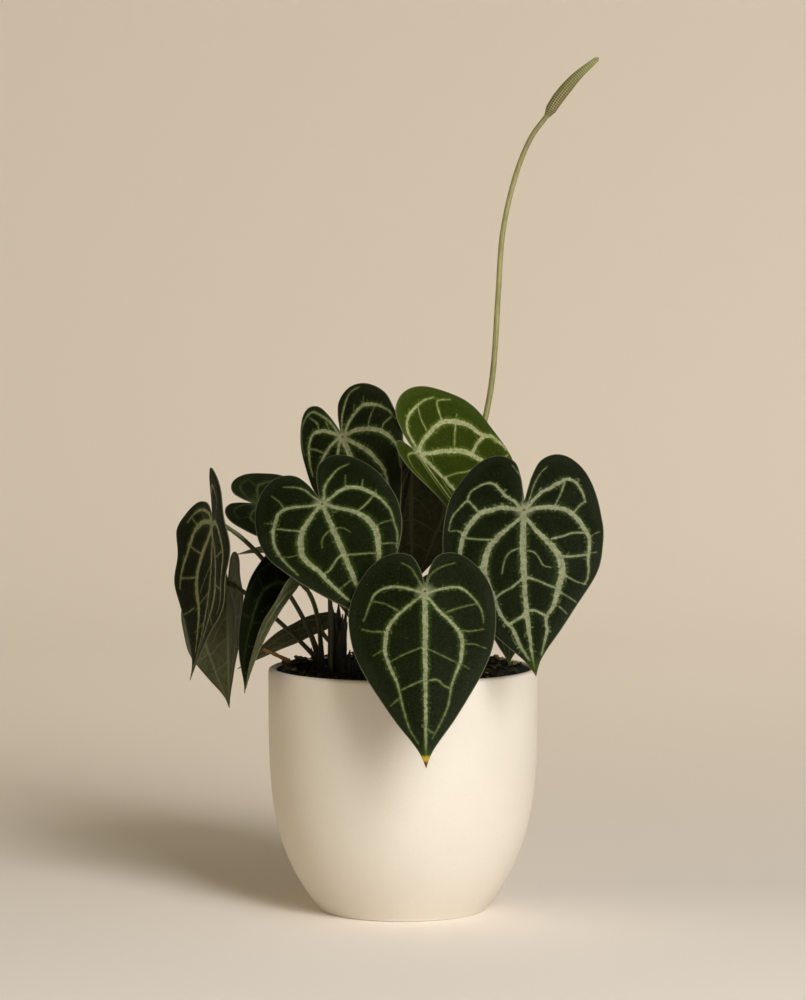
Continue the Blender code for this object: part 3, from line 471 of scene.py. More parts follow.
class Shading:
    """Short calls that add nodes to a new material and link them."""

    def __init__(self, name):
        self.material = bpy.data.materials.new(name)
        self.material.use_nodes = True
        self.tree = self.material.node_tree
        self.shader = self.tree.nodes["Principled BSDF"]
        self.place = self.node("ShaderNodeTexCoord").outputs["Object"]

    def node(self, kind, **settings):
        node = self.tree.nodes.new(kind)
        for key, value in settings.items():
            setattr(node, key, value)
        return node

    def put(self, socket, value):
        """Links an output to the socket, or sets a plain value."""
        if isinstance(value, bpy.types.NodeSocket):
            self.tree.links.new(value, socket)
        elif isinstance(value, tuple) and len(value) == 3 and socket.type == "RGBA":
            socket.default_value = (*value, 1.0)
        else:
            socket.default_value = value

    def attribute(self, name):
        return self.node("ShaderNodeAttribute", attribute_name=name).outputs["Fac"]

    def math(self, operation, *values):
        node = self.node("ShaderNodeMath", operation=operation)
        for socket, value in zip(node.inputs, values):
            self.put(socket, value)
        return node.outputs[0]

    def step(self, value, low, high, to_low=0.0, to_high=1.0):
        """A smooth step of the value from low to high."""
        node = self.node("ShaderNodeMapRange", interpolation_type="SMOOTHSTEP")
        entries = {"Value": value, "From Min": low, "From Max": high, "To Min": to_low, "To Max": to_high}
        for name, entry in entries.items():
            self.put(node.inputs[name], entry)
        return node.outputs[0]

    def mix(self, factor, a, b, blend="MIX"):
        node = self.node("ShaderNodeMix", data_type="RGBA", blend_type=blend)
        self.put(node.inputs[0], factor)
        self.put(node.inputs[6], a)
        self.put(node.inputs[7], b)
        return node.outputs[2]

    def noise(self, size, detail=2.0, roughness=0.5, stretch=None):
        """Noise with features of about the size, in millimetres."""
        node = self.node("ShaderNodeTexNoise")
        place = self.place
        if stretch:
            mapping = self.node("ShaderNodeMapping")
            self.put(mapping.inputs["Vector"], self.place)
            self.put(mapping.inputs["Scale"], stretch)
            place = mapping.outputs[0]
        self.put(node.inputs["Vector"], place)
        self.put(node.inputs["Scale"], 1000.0 / size)
        self.put(node.inputs["Detail"], detail)
        self.put(node.inputs["Roughness"], roughness)
        return node.outputs["Fac"]

    def cells(self, size, feature="F1"):
        """Distance to the middle or the edge of cells of about the size, in millimetres."""
        node = self.node("ShaderNodeTexVoronoi", feature=feature)
        self.put(node.inputs["Vector"], self.place)
        self.put(node.inputs["Scale"], 1000.0 / size)
        return node.outputs["Distance"]

    def spread(self, value, amount):
        """A 0 to 1 value as one around zero, of that height."""
        return self.math("MULTIPLY", self.math("SUBTRACT", value, 0.5), amount)

    def bump(self, height, distance, strength):
        node = self.node("ShaderNodeBump")
        self.put(node.inputs["Height"], height)
        self.put(node.inputs["Distance"], distance)
        self.put(node.inputs["Strength"], strength)
        self.put(self.shader.inputs["Normal"], node.outputs[0])

    def finish(self, **inputs):
        """Sets inputs of the shader by name, with _ for a space."""
        for key, value in inputs.items():
            self.put(self.shader.inputs[key.replace("_", " ")], value)
        return self.material


# Leaf looks: colours of the panels and their grain, of the green beside the veins, of wide and thin veins
# and of the grey-green band along the margin, which is painted sheen
LEAF_LOOKS = {
    "dark": dict(
        panel=(0.0030, 0.0048, 0.0008), grit=(0.0115, 0.0165, 0.004), glow=(0.036, 0.060, 0.007),
        vein=(0.225, 0.240, 0.128), thin=(0.085, 0.108, 0.040), margin_sheen=(0.015, 0.019, 0.009),
    ),
    "pale_veined": dict(
        panel=(0.0028, 0.0046, 0.0008), grit=(0.0105, 0.0150, 0.004), glow=(0.030, 0.048, 0.008),
        vein=(0.225, 0.238, 0.138), thin=(0.135, 0.152, 0.075), margin_sheen=(0.015, 0.018, 0.010),
    ),
    "young": dict(
        panel=(0.0145, 0.0245, 0.0006), grit=(0.031, 0.046, 0.0018), glow=(0.070, 0.098, 0.010),
        vein=(0.28, 0.29, 0.14), thin=(0.16, 0.185, 0.055), margin_sheen=(0.040, 0.058, 0.008),
    ),
    # shaded: a darker copy of the leaf colours, painted shade for the leaves that stand in shadow behind the
    # others
    "shaded": dict(
        panel=(0.0045, 0.0068, 0.0016), grit=(0.012, 0.018, 0.005), glow=(0.014, 0.024, 0.005),
        vein=(0.045, 0.058, 0.020), thin=(0.025, 0.034, 0.010), margin_sheen=(0.014, 0.020, 0.008),
    ),
}


def leaf_material(name, panel, grit, glow, vein, thin, margin_sheen):
    s = Shading(f"leaf_{name}")
    along = s.attribute("along")
    edge = s.attribute("edge")
    joint = s.attribute("joint")
    fine = s.noise(0.55, 3.0, 0.65)
    middling = s.noise(2.0, 3.0, 0.6)
    broad = s.noise(14.0, 2.0, 0.5)
    net = s.step(s.cells(2.3, "DISTANCE_TO_EDGE"), 0.085, 0.02)
    size = s.attribute("size")
    ragged = s.math("ADD", s.spread(fine, 1.2), s.spread(middling, 1.1))
    rough_edge = s.math("MULTIPLY", ragged, s.step(size, 0.15, 1.0, 0.35, 1.0))
    vein_at = s.math("ADD", s.attribute("vein"), rough_edge)
    spur_at = s.math("ADD", s.attribute("spur"), s.math("MULTIPLY", ragged, 0.25))
    on_vein = s.step(vein_at, -0.35, 0.25)
    on_spur = s.step(spur_at, -0.25, 0.18, 0.0, 0.62)
    reach = s.math("MULTIPLY_ADD", size, -1.6, -0.7)
    near_vein = s.step(s.math("ADD", vein_at, s.spread(middling, 1.2)), reach, 0.1)
    near_spur = s.step(spur_at, -0.7, 0.0, 0.0, 0.6)
    grain = s.step(s.math("ADD", s.spread(s.cells(0.5), 0.8), fine), 0.45, 0.85)
    colour = s.mix(grain, panel, grit)
    colour = s.mix(s.step(broad, 0.45, 0.80, 0.0, 0.35), colour, grit)
    # A grey-green band along the margin: painted sheen
    colour = s.mix(s.step(edge, 8.0, 0.5, 0.0, 0.5), colour, margin_sheen)
    beside = s.math("MAXIMUM", near_spur, near_vein)
    colour = s.mix(s.math("MULTIPLY", net, s.step(near_vein, 0.0, 1.0, 0.10, 0.5)), colour, glow)
    colour = s.mix(s.math("MULTIPLY", beside, s.step(fine, 0.25, 0.70, 0.15, 0.9)), colour, glow)
    colour = s.mix(on_spur, colour, thin)
    tone = s.mix(s.step(size, 0.12, 0.75), thin, vein)
    mottle = s.step(s.math("ADD", s.spread(middling, 0.8), fine), 0.2, 0.8, 0.52, 1.30)
    shade = s.node("ShaderNodeVectorMath", operation="SCALE")
    s.put(shade.inputs[0], tone)
    s.put(shade.inputs["Scale"], mottle)
    colour = s.mix(on_vein, colour, shade.outputs[0])
    # A pale line along the very edge: partly the margin's own pale colour, partly a painted highlight
    pale_edge_and_highlight = s.step(s.math("ADD", edge, s.spread(fine, 0.5)), 0.60, 0.10, 0.0, 0.6)
    colour = s.mix(pale_edge_and_highlight, colour, (0.16, 0.16, 0.085))
    colour = s.mix(s.step(along, 0.87, 0.94, 0.0, 0.7), colour, (0.030, 0.050, 0.006))
    colour = s.mix(s.step(along, 0.955, 0.985, 0.0, 0.8), colour, (0.085, 0.070, 0.024))
    ripe = s.attribute("ripe")
    colour = s.mix(s.step(ripe, 0.925, 0.945), colour, (0.36, 0.26, 0.025))
    colour = s.mix(s.step(ripe, 0.955, 0.972), colour, (0.10, 0.035, 0.010))
    colour = s.mix(s.step(joint, 6.5, 1.2, 0.0, 0.6), colour, vein)
    colour = s.mix(s.step(joint, 1.0, 0.6, 0.0, 0.85), colour, (0.06, 0.03, 0.012))
    # Pale grey specks in small cells over the blade
    pale_specks = s.step(s.cells(3.1), 0.075, 0.045, 0.0, 0.55)
    colour = s.mix(s.math("MULTIPLY", pale_specks, s.step(fine, 0.52, 0.6)), colour, (0.35, 0.35, 0.30))
    under = s.mix(s.step(middling, 0.3, 0.7), (0.048, 0.055, 0.024), (0.085, 0.095, 0.042))
    under = s.mix(s.step(broad, 0.4, 0.7, 0.0, 0.4), under, (0.10, 0.080, 0.042))
    under = s.mix(s.step(s.attribute("vein"), -0.4, 0.2, 0.0, 0.7), under, (0.15, 0.165, 0.08))
    colour = s.mix(s.step(s.attribute("top"), 0.3, 0.7), under, colour)
    relief = s.math("ADD", s.math("MULTIPLY", s.cells(0.55), 0.5), fine)
    s.bump(relief, 0.00022, 0.6)
    rough = s.step(middling, 0.2, 0.8, 0.52, 0.68)
    return s.finish(Base_Color=colour, Roughness=rough, Specular_IOR_Level=0.05)


def stoneware_material():
    s = Shading("stoneware_matte")
    broad = s.noise(60.0, 2.0, 0.5)
    fine = s.noise(1.1, 4.0, 0.6)
    colour = s.mix(s.step(broad, 0.3, 0.7), (0.665, 0.61, 0.52), (0.69, 0.635, 0.545))
    colour = s.mix(s.step(fine, 0.35, 0.75, 0.0, 0.10), colour, (0.52, 0.46, 0.38))
    speck = s.step(s.cells(2.6), 0.085, 0.05, 0.0, 0.35)
    colour = s.mix(s.math("MULTIPLY", speck, s.step(s.noise(9.0), 0.5, 0.62)), colour, (0.52, 0.43, 0.30))
    relief = s.math("ADD", s.math("MULTIPLY", s.noise(0.5, 3.0), 0.4), s.noise(4.0, 3.0))
    s.bump(relief, 0.00018, 0.5)
    return s.finish(Base_Color=colour, Roughness=s.step(fine, 0.2, 0.8, 0.52, 0.66), Specular_IOR_Level=0.35)


def soil_material():
    s = Shading("soil_bark")
    tone = s.attribute("tone")
    fine = s.noise(0.9, 4.0, 0.7)
    colour = s.mix(s.step(fine, 0.35, 0.7), (0.005, 0.005, 0.0025), (0.022, 0.020, 0.009))
    colour = s.mix(s.step(tone, 0.45, 0.75, 0.0, 0.7), colour, (0.050, 0.042, 0.017))
    colour = s.mix(s.step(tone, 0.86, 0.88), colour, (0.10, 0.060, 0.020))
    colour = s.mix(s.step(tone, 0.94, 0.95), colour, (0.42, 0.39, 0.31))
    moss = s.mix(s.step(fine, 0.3, 0.7), (0.050, 0.052, 0.016), (0.26, 0.23, 0.085))
    colour = s.mix(s.step(tone, 1.2, 1.3), colour, moss)
    colour = s.mix(s.step(fine, 0.6, 0.75, 0.0, 0.35), colour, (0.015, 0.012, 0.006), "MULTIPLY")
    s.bump(s.math("ADD", fine, s.noise(0.35, 2.0)), 0.0005, 0.8)
    return s.finish(Base_Color=colour, Roughness=0.9, Specular_IOR_Level=0.25)


def stem_material(name, low, high, dark):
    """Green stem with fine lengthwise streaks: low at its foot, high at its end."""
    s = Shading(f"stem_{name}")
    along = s.attribute("along")
    streak = s.noise(1.1, 3.0, 0.6, stretch=(1.0, 1.0, 0.12))
    fine = s.noise(0.7, 3.0, 0.6)
    colour = s.mix(s.step(along, 0.1, 0.9), low, high)
    colour = s.mix(s.step(streak, 0.42, 0.7, 0.0, 0.6), colour, dark)
    colour = s.mix(s.step(along, 0.78, 1.0, 0.0, 0.55), colour, dark)
    colour = s.mix(s.step(fine, 0.60, 0.78, 0.0, 0.4), colour, (0.22, 0.19, 0.08))
    s.bump(s.math("ADD", streak, s.math("MULTIPLY", fine, 0.4)), 0.00015, 0.7)
    return s.finish(Base_Color=colour, Roughness=0.48, Specular_IOR_Level=0.4)


def sheath_material():
    s = Shading("sheath_fibre")
    fibre = s.noise(0.7, 3.0, 0.7, stretch=(1.0, 1.0, 0.08))
    colour = s.mix(s.step(fibre, 0.35, 0.7), (0.0045, 0.0050, 0.0022), (0.026, 0.022, 0.009))
    colour = s.mix(s.step(s.attribute("along"), 0.6, 1.0, 0.0, 0.6), colour, (0.055, 0.042, 0.016))
    s.bump(fibre, 0.0004, 0.9)
    return s.finish(Base_Color=colour, Roughness=0.8, Specular_IOR_Level=0.3)


def dry_material():
    s = Shading("dry_stalk")
    fibre = s.noise(0.8, 3.0, 0.7)
    colour = s.mix(s.step(fibre, 0.3, 0.7), (0.20, 0.075, 0.016), (0.36, 0.20, 0.055))
    s.bump(fibre, 0.0003, 0.8)
    return s.finish(Base_Color=colour, Roughness=0.75, Specular_IOR_Level=0.3)


def spadix_material():
    s = Shading("spadix")
    along = s.attribute("along")
    bead = s.attribute("bead")
    fine = s.noise(0.3, 2.0, 0.6)
    body = s.mix(s.step(along, 0.45, 1.0), (0.150, 0.130, 0.040), (0.24, 0.26, 0.085))
    ripe = s.step(s.spread(s.cells(1.3), 1.0), 0.1, 0.6, 0.0, 1.0)
    crest = s.mix(ripe, (0.30, 0.29, 0.12), (0.38, 0.25, 0.09))
    body = s.mix(s.step(bead, 0.58, 0.85, 0.0, 0.85), body, crest)
    # Near black in the grooves between the florets: painted shade
    body = s.mix(s.step(bead, 0.50, 0.20, 0.0, 0.95), body, (0.018, 0.014, 0.005))
    s.bump(fine, 0.0001, 0.5)
    return s.finish(Base_Color=body, Roughness=0.55, Specular_IOR_Level=0.35)


def studio_material():
    s = Shading("studio_paper")
    ahead = s.node("ShaderNodeSeparateXYZ")
    s.put(ahead.inputs[0], s.place)
    # Painted light: the paper is paler and cooler in front and warmer behind
    near = s.step(s.math("ADD", ahead.outputs["Y"], s.spread(s.noise(900.0, 2.0, 0.5), 0.2)), 0.35, -0.30)
    colour = s.mix(near, (0.93, 0.84, 0.74), (0.93, 0.865, 0.79))
    return s.finish(Base_Color=colour, Roughness=0.9, Specular_IOR_Level=0.1)


def outer_radius(z):
    """The pot's outer radius at a height: a straight side that rounds in to the foot."""
    rounded = 1 - (1 - z / POT_HEIGHT) ** ROUNDING
    return FOOT_RADIUS + (RIM_RADIUS - FOOT_RADIUS) * max(rounded, 0.0)


def turned(profile, segments, closed=True):
    """Vertices and faces of (radius, z) points turned about Z, from the axis and, if closed, back to it."""
    vertices = [(0, 0, profile[0][1])]
    rings = profile[1:-1] if closed else profile[1:]
    for radius, z in rings:
        for k in range(segments):
            angle = 2 * pi * k / segments
            vertices.append((radius * cos(angle), radius * sin(angle), z))
    last = len(vertices)
    top = last - segments
    if closed:
        vertices.append((0, 0, profile[-1][1]))
    faces = []
    for k in range(segments):
        after = (k + 1) % segments
        faces.append((0, 1 + after, 1 + k))
        for ring in range(len(rings) - 1):
            low = 1 + ring * segments
            high = low + segments
            faces.append((low + k, low + after, high + after, high + k))
        if closed:
            faces.append((last, top + k, top + after))
    return vertices, faces


def tube_faces(rings, sides):
    """Faces between rings of vertices, and those to a first and a last vertex, which follow the rings."""
    faces = []
    for k in range(rings - 1):
        for n in range(sides):
            a = k * sides + n
            b = k * sides + (n + 1) % sides
            faces.append((a, b, b + sides, a + sides))
    last = (rings - 1) * sides
    for n in range(sides):
        after = (n + 1) % sides
        faces.append((rings * sides, after, n))
        faces.append((rings * sides + 1, last + n, last + after))
    return faces


def wall_heights():
    """Heights of the pot's rings, closer together towards the foot."""
    return [POT_HEIGHT * (k / POT_RINGS) ** 1.5 for k in range(1, POT_RINGS)]


def inner_wall():
    """(radius, z) up the inside of the pot, from the edge of its floor."""
    edge = (outer_radius(FLOOR) - WALL - FLOOR_EDGE, FLOOR)
    return [edge] + [(outer_radius(z) - WALL, z) for z in wall_heights() if z > FLOOR + 2 * MM]


def add_pot():
    """The pot with a rounded lip, a rounded edge at its foot and a shallow hollow inside the foot's ring."""
    lip = WALL / 2
    outside = [(outer_radius(z), z) for z in wall_heights() if FOOT_EDGE < z < POT_HEIGHT - 1.5 * lip]
    foot = []
    for k in range(6):
        angle = pi / 2 * k / 5
        foot.append((FOOT_RADIUS + FOOT_EDGE * (2 * sin(angle) - 1), FOOT_EDGE * (1 - cos(angle))))
    rounded_lip = []
    for k in range(11):
        angle = pi * k / 10
        rounded_lip.append((RIM_RADIUS - lip + lip * cos(angle), POT_HEIGHT - lip + lip * sin(angle)))
    ring = [(FOOT_RADIUS - inward, z) for inward, z in FOOT_RING]
    inside = inner_wall()[::-1] + [(0, FLOOR)]
    profile = [(0, FOOT_RING[0][1])] + ring + foot + outside + rounded_lip + inside
    vertices, faces = turned(profile, POT_SEGMENTS)
    return stand_for(add_mesh("fine_pot", vertices, faces, stoneware_material()), "stoneware", "pot")


def bumps_at(x, y, layer):
    """Height of one layer of bumps at a place."""
    frequency, level, height = layer
    return noise.noise(Vector((x, y, level)) * frequency) * height


def soil_height(x, y):
    """The soil's dished top, which is bumpy away from the wall."""
    radius = min(((x * x + y * y) ** 0.5) / (RIM_RADIUS - WALL), 1.0)
    bumps = sum(bumps_at(x, y, layer) for layer in SOIL_BUMPS)
    return SOIL_TOP - SOIL_DISH * (1 - radius**2) + bumps * (1 - radius**6)


# Chips of bark and grit on the soil: how many, their sizes in metres and their tones, as (from, to)
CHIPS = (
    (430, (1.6 * MM, 3.4 * MM), (0.0, 0.84)),
    (170, (3.2 * MM, 6.2 * MM), (0.0, 0.84)),
    (60, (1.2 * MM, 3.0 * MM), (0.89, 0.93)),
    (46, (0.8 * MM, 1.8 * MM), (0.96, 1.0)),
)

# Moss and bark heaped against the back of the rim: how many, their sizes, how far out and over which angles
MOSS = 230
MOSS_SIZE = (2.0 * MM, 5.0 * MM)
MOSS_REACH = (58 * MM, 63.2 * MM)
MOSS_ANGLES = (8, 196)
MOSS_TONES = (0.3, 0.7, 1.5, 1.5)

# A chip: how many points its hull is made from, and its half-sizes as parts of its size
CHIP_POINTS = 11
CHIP_SHAPE = (0.5, 0.36, 0.24)
CHIP_SEED = 21


def chip_points(draw, size):
    """Points of one uneven, flattened chip."""
    points = []
    for _ in range(CHIP_POINTS):
        point = Vector((draw.gauss(0, 1), draw.gauss(0, 1), draw.gauss(0, 1))).normalized()
        points.append(Vector([axis * size * part for axis, part in zip(point, CHIP_SHAPE)]))
    return points


def placed_chips(draw):
    """Radius, angle, size, lift and tone of each chip: first those spread on the soil, then the moss."""
    chips = []
    for count, sizes, tones in CHIPS:
        for _ in range(count):
            size = draw.uniform(*sizes)
            reach = RIM_RADIUS - WALL - 0.6 * size - 0.8 * MM
            radius = reach * draw.random() ** 0.5
            angle = draw.uniform(0, 2 * pi)
            chips.append((radius, angle, size, draw.uniform(0.0, 0.32), draw.uniform(*tones)))
    for _ in range(MOSS):
        angle = radians(draw.uniform(*MOSS_ANGLES))
        radius = draw.uniform(*MOSS_REACH)
        size = draw.uniform(*MOSS_SIZE)
        chips.append((radius, angle, size, draw.uniform(0.1, 0.8), draw.choice(MOSS_TONES)))
    return chips


def add_soil():
    """The filling of the pot with a bumpy top, and chips half sunk in it."""
    inward = 1.5 * SOIL_CLEARANCE
    side = [(radius - inward, z + SOIL_CLEARANCE) for radius, z in inner_wall() if z < SOIL_TOP - 4 * MM]
    edge = outer_radius(SOIL_TOP) - WALL - inward
    side.append((edge, SOIL_TOP))
    top = [(edge * (1 - k / SOIL_RINGS), SOIL_TOP) for k in range(1, SOIL_RINGS)]
    profile = [(0, FLOOR + SOIL_CLEARANCE)] + side + top + [(0, SOIL_TOP)]
    vertices, faces = turned(profile, SOIL_SEGMENTS)
    surface_from = 1 + SOIL_SEGMENTS * len(side)
    bm = bmesh.new()
    tone = bm.verts.layers.float.new("tone")
    made = []
    for index, (x, y, z) in enumerate(vertices):
        if index >= surface_from:
            z = soil_height(x, y) + bumps_at(x, y, SOIL_GRAIN)
        made.append(bm.verts.new((x, y, z)))
    for face in faces:
        bm.faces.new([made[k] for k in face])
    draw = random.Random(CHIP_SEED)
    for radius, angle, size, lift, value in placed_chips(draw):
        turn = Matrix.Rotation(draw.uniform(0, 2 * pi), 4, "Z")
        turn = turn @ Matrix.Rotation(draw.uniform(-0.6, 0.6), 4, "X")
        x = radius * cos(angle)
        y = radius * sin(angle)
        place = Matrix.Translation((x, y, soil_height(x, y) + lift * size))
        hull = [bm.verts.new(place @ turn @ point) for point in chip_points(draw, size)]
        for vertex in hull:
            vertex[tone] = value
        made_hull = bmesh.ops.convex_hull(bm, input=hull)
        loose = [v for v in made_hull["geom_interior"] if isinstance(v, bmesh.types.BMVert)]
        bmesh.ops.delete(bm, geom=loose, context="VERTS")
    mesh = bpy.data.meshes.new("fine_soil")
    bm.to_mesh(mesh)
    bm.free()
    mesh.materials.append(soil_material())
    return stand_for(add_object("fine_soil", mesh), "soil", "soil")


def leaf_axes(leaf):
    """Unit vectors of a blade at its joint: to its right half, along the midrib, and out of its face."""
    heading = radians(leaf["heading"])
    pitch = radians(leaf["pitch"])
    roll = radians(leaf["roll"])
    ahead = np.array([sin(heading), -cos(heading), 0.0])
    up = np.array([0.0, 0.0, 1.0])
    along = cos(pitch) * ahead - sin(pitch) * up
    face = sin(pitch) * ahead + cos(pitch) * up
    face = cos(roll) * face + sin(roll) * np.cross(face, along)
    return np.cross(face, along), along, face


def arc(curvature, distance):
    """Run and rise after a distance along an arc."""
    curvature = np.where(np.abs(curvature) < 1e-6, 1e-6, curvature)
    return np.sin(curvature * distance) / curvature, (1 - np.cos(curvature * distance)) / curvature


def sheet_points(flat, half, leaf):
    """Points (across, along) of one half, in lengths of the midrib, as millimetres on the flat blade."""
    across, along = np.asarray(flat, float).T
    stretch = np.where(along < 0, leaf["lobe"][half], 1.0)
    return np.stack([(2 * half - 1) * across * leaf["wide"][half], along * stretch], axis=1) * leaf["length"]


def bend_blade(sheet, leaf):
    """Points of the flat blade bent into space, in metres, as the CAD source bends them."""
    half = (sheet[:, 0] > 0).astype(int)
    across = np.abs(sheet[:, 0]) / leaf["length"]
    along = sheet[:, 1] / leaf["length"]
    middle = np.sin(pi * np.clip((along + LOBES) / (1 + LOBES), 0, 1))
    along = along + np.array(leaf["belly"])[half] * middle * np.clip(across / BELLY_FROM, 0, 1)
    run, rise = arc(np.radians(leaf["curl"])[half], across)
    height, place = leaf["wave"]
    rise = rise + height * (across / HALF_WIDTH) ** 2 * np.sin(WAVES * along + place + 2 * half)
    fold = np.radians(leaf["fold"])[half]
    out = run * np.cos(fold) - rise * np.sin(fold)
    lift = run * np.sin(fold) + rise * np.cos(fold)
    curvature = np.where(along >= 0, -radians(leaf["bend"]), -np.radians(leaf["lobe_bend"])[half])
    ahead, drop = arc(curvature, along)
    x = out * (2 * half - 1)
    y = ahead - lift * np.sin(curvature * along)
    z = drop + lift * np.cos(curvature * along)
    right, forward, face = leaf_axes(leaf)
    local = x[:, None] * right + y[:, None] * forward + z[:, None] * face
    return (np.array(leaf["joint"]) + leaf["length"] * local) * MM


def outline_of(leaf):
    """The closed outline of the flat blade, in millimetres."""
    half = smooth_curve(HALF_LEAF, 12)
    sides = []
    for side in (0, 1):
        line = sheet_points(half, side, leaf)
        sides.append(even_samples(line, int(curve_length(line) / EDGE_STEP)))
    return np.vstack([sides[1], sides[0][-2:0:-1]])


def vein_lines(leaf):
    """(points, half-widths) of the veins on the flat blade, in millimetres, and of the spurs beside them."""
    midrib, *halves = VEINS[leaf["veins"]]
    veins = [(MIDRIB, midrib, 0)]
    for half, lines in enumerate(halves):
        veins += [(control, widths, half) for widths, control in lines]
    found = []
    for control, widths, half in veins:
        line = sheet_points(smooth_curve(np.array(control) / 100, 8), half, leaf)
        line = even_samples(line, max(int(curve_length(line) / VEIN_STEP), 3))
        given = np.linspace(0, 1, len(widths))
        width = np.interp(np.linspace(0, 1, len(line)), given, np.array(widths) / 100)
        found.append((line, width * leaf["vein"]))
    draw = random.Random(leaf["veins"])
    spurs = []
    for line, width in found:
        across = sideways(line)
        ahead = np.gradient(line, axis=0)
        for k in range(2, len(line) - 2):
            if width[k] < SPUR_FROM or draw.random() > VEIN_STEP / SPUR_GAP:
                continue
            side = draw.choice((-1, 1))
            lean = draw.uniform(-0.2, 0.7)
            way = across[k] * side + ahead[k] / np.linalg.norm(ahead[k]) * lean
            reach = width[k] + draw.uniform(*SPUR_LENGTHS)
            spur = line[k] + np.linspace(0.5 * width[k], reach, 3)[:, None] * way
            spurs.append((spur, np.linspace(*SPUR_WIDTHS, 3)))
    return found, spurs


def inside_by(points, lines):
    """How far each point is inside the nearest line's width, below 0 outside it, and that half-width."""
    best = np.full(len(points), -99.0)
    size = np.zeros(len(points))
    for line, widths in lines:
        start = line[:-1]
        run = line[1:] - start
        away = points[:, None] - start
        t = np.clip((away * run).sum(axis=2) / (run**2).sum(axis=1), 0, 1)
        distance = np.linalg.norm(away - t[:, :, None] * run, axis=2)
        width = widths[:-1] + (widths[1:] - widths[:-1]) * t
        nearest = (width - distance).argmax(axis=1)
        rows = np.arange(len(points))
        inside = (width - distance)[rows, nearest]
        nearer = inside > best
        best[nearer] = inside[nearer]
        size[nearer] = width[rows, nearest][nearer]
    return best, size


def sideways(line):
    """Unit vectors across a line of points."""
    ahead = np.gradient(line, axis=0)
    ahead /= np.linalg.norm(ahead, axis=1)[:, None]
    return np.stack([-ahead[:, 1], ahead[:, 0]], axis=1)


def spaced(groups, clearance):
    """The points of the groups in order, without those that are too close to an earlier one."""
    grid = {}
    kept = []
    for group, free in groups:
        for x, y in group:
            cell = (int(x // clearance), int(y // clearance))
            near = []
            for i, j in product((-1, 0, 1), repeat=2):
                near += grid.get((cell[0] + i, cell[1] + j), ())
            if free or all((x - a) ** 2 + (y - b) ** 2 > clearance**2 for a, b in near):
                grid.setdefault(cell, []).append((x, y))
                kept.append((x, y))
    return kept


def off_margin(points, loop, room):
    """The points that are more than that room away from the outline."""
    return points[inside_by(points, [loop])[0] < -room]


def blade_sheet(leaf):
    """Points and triangles of the flat blade, in millimetres, its outline, its veins and their spurs."""
    outline = outline_of(leaf)
    loop = (np.vstack([outline, outline[:1]]), np.zeros(len(outline) + 1))
    veins, spurs = vein_lines(leaf)
    beside = []
    for line, widths in veins:
        for offset in BESIDE:
            beside.append(line + sideways(line) * (widths * offset)[:, None])
    low = outline.min(axis=0)
    high = outline.max(axis=0)
    grid = []
    for row, y in enumerate(np.arange(low[1], high[1], GRID_STEP * 0.87)):
        for x in np.arange(low[0] + (row % 2) * GRID_STEP / 2, high[0], GRID_STEP):
            grid.append((x, y))
    centre = np.vstack([line for line, _ in veins])
    thin = np.vstack([line[1:] for line, _ in spurs])
    groups = [(outline, True)]
    for points, room in ((centre, 0.35), (np.vstack(beside), 0.4), (thin, 0.4)):
        groups.append((off_margin(points, loop, room), False))
    inner = spaced(groups, POINT_CLEARANCE)
    inner = spaced([(inner, True), (off_margin(np.array(grid), loop, 0.6), False)], GRID_STEP * 0.62)
    points = [Vector(p) for p in inner]
    count = len(outline)
    edges = [(k, (k + 1) % count) for k in range(count)]
    found, _, triangles, _, _, _ = geometry.delaunay_2d_cdt(points, edges, [], 1, 1e-5)
    used, triangles = np.unique(np.array(triangles), return_inverse=True)
    found = np.array([tuple(p) for p in found])[used]
    return found, triangles.reshape(-1, 3), loop, veins, spurs


def vertex_normals(points, triangles):
    a, b, c = (points[triangles[:, k]] for k in range(3))
    normal = np.cross(b - a, c - a)
    total = np.zeros_like(points)
    for k in range(3):
        np.add.at(total, triangles[:, k], normal)
    return total / np.linalg.norm(total, axis=1)[:, None]


def rim_of(triangles):
    """Edges of one triangle only, in that triangle's direction."""
    edges = np.concatenate([triangles[:, [0, 1]], triangles[:, [1, 2]], triangles[:, [2, 0]]])
    _, index, counts = np.unique(np.sort(edges, axis=1), axis=0, return_index=True, return_counts=True)
    return edges[index[counts == 1]]


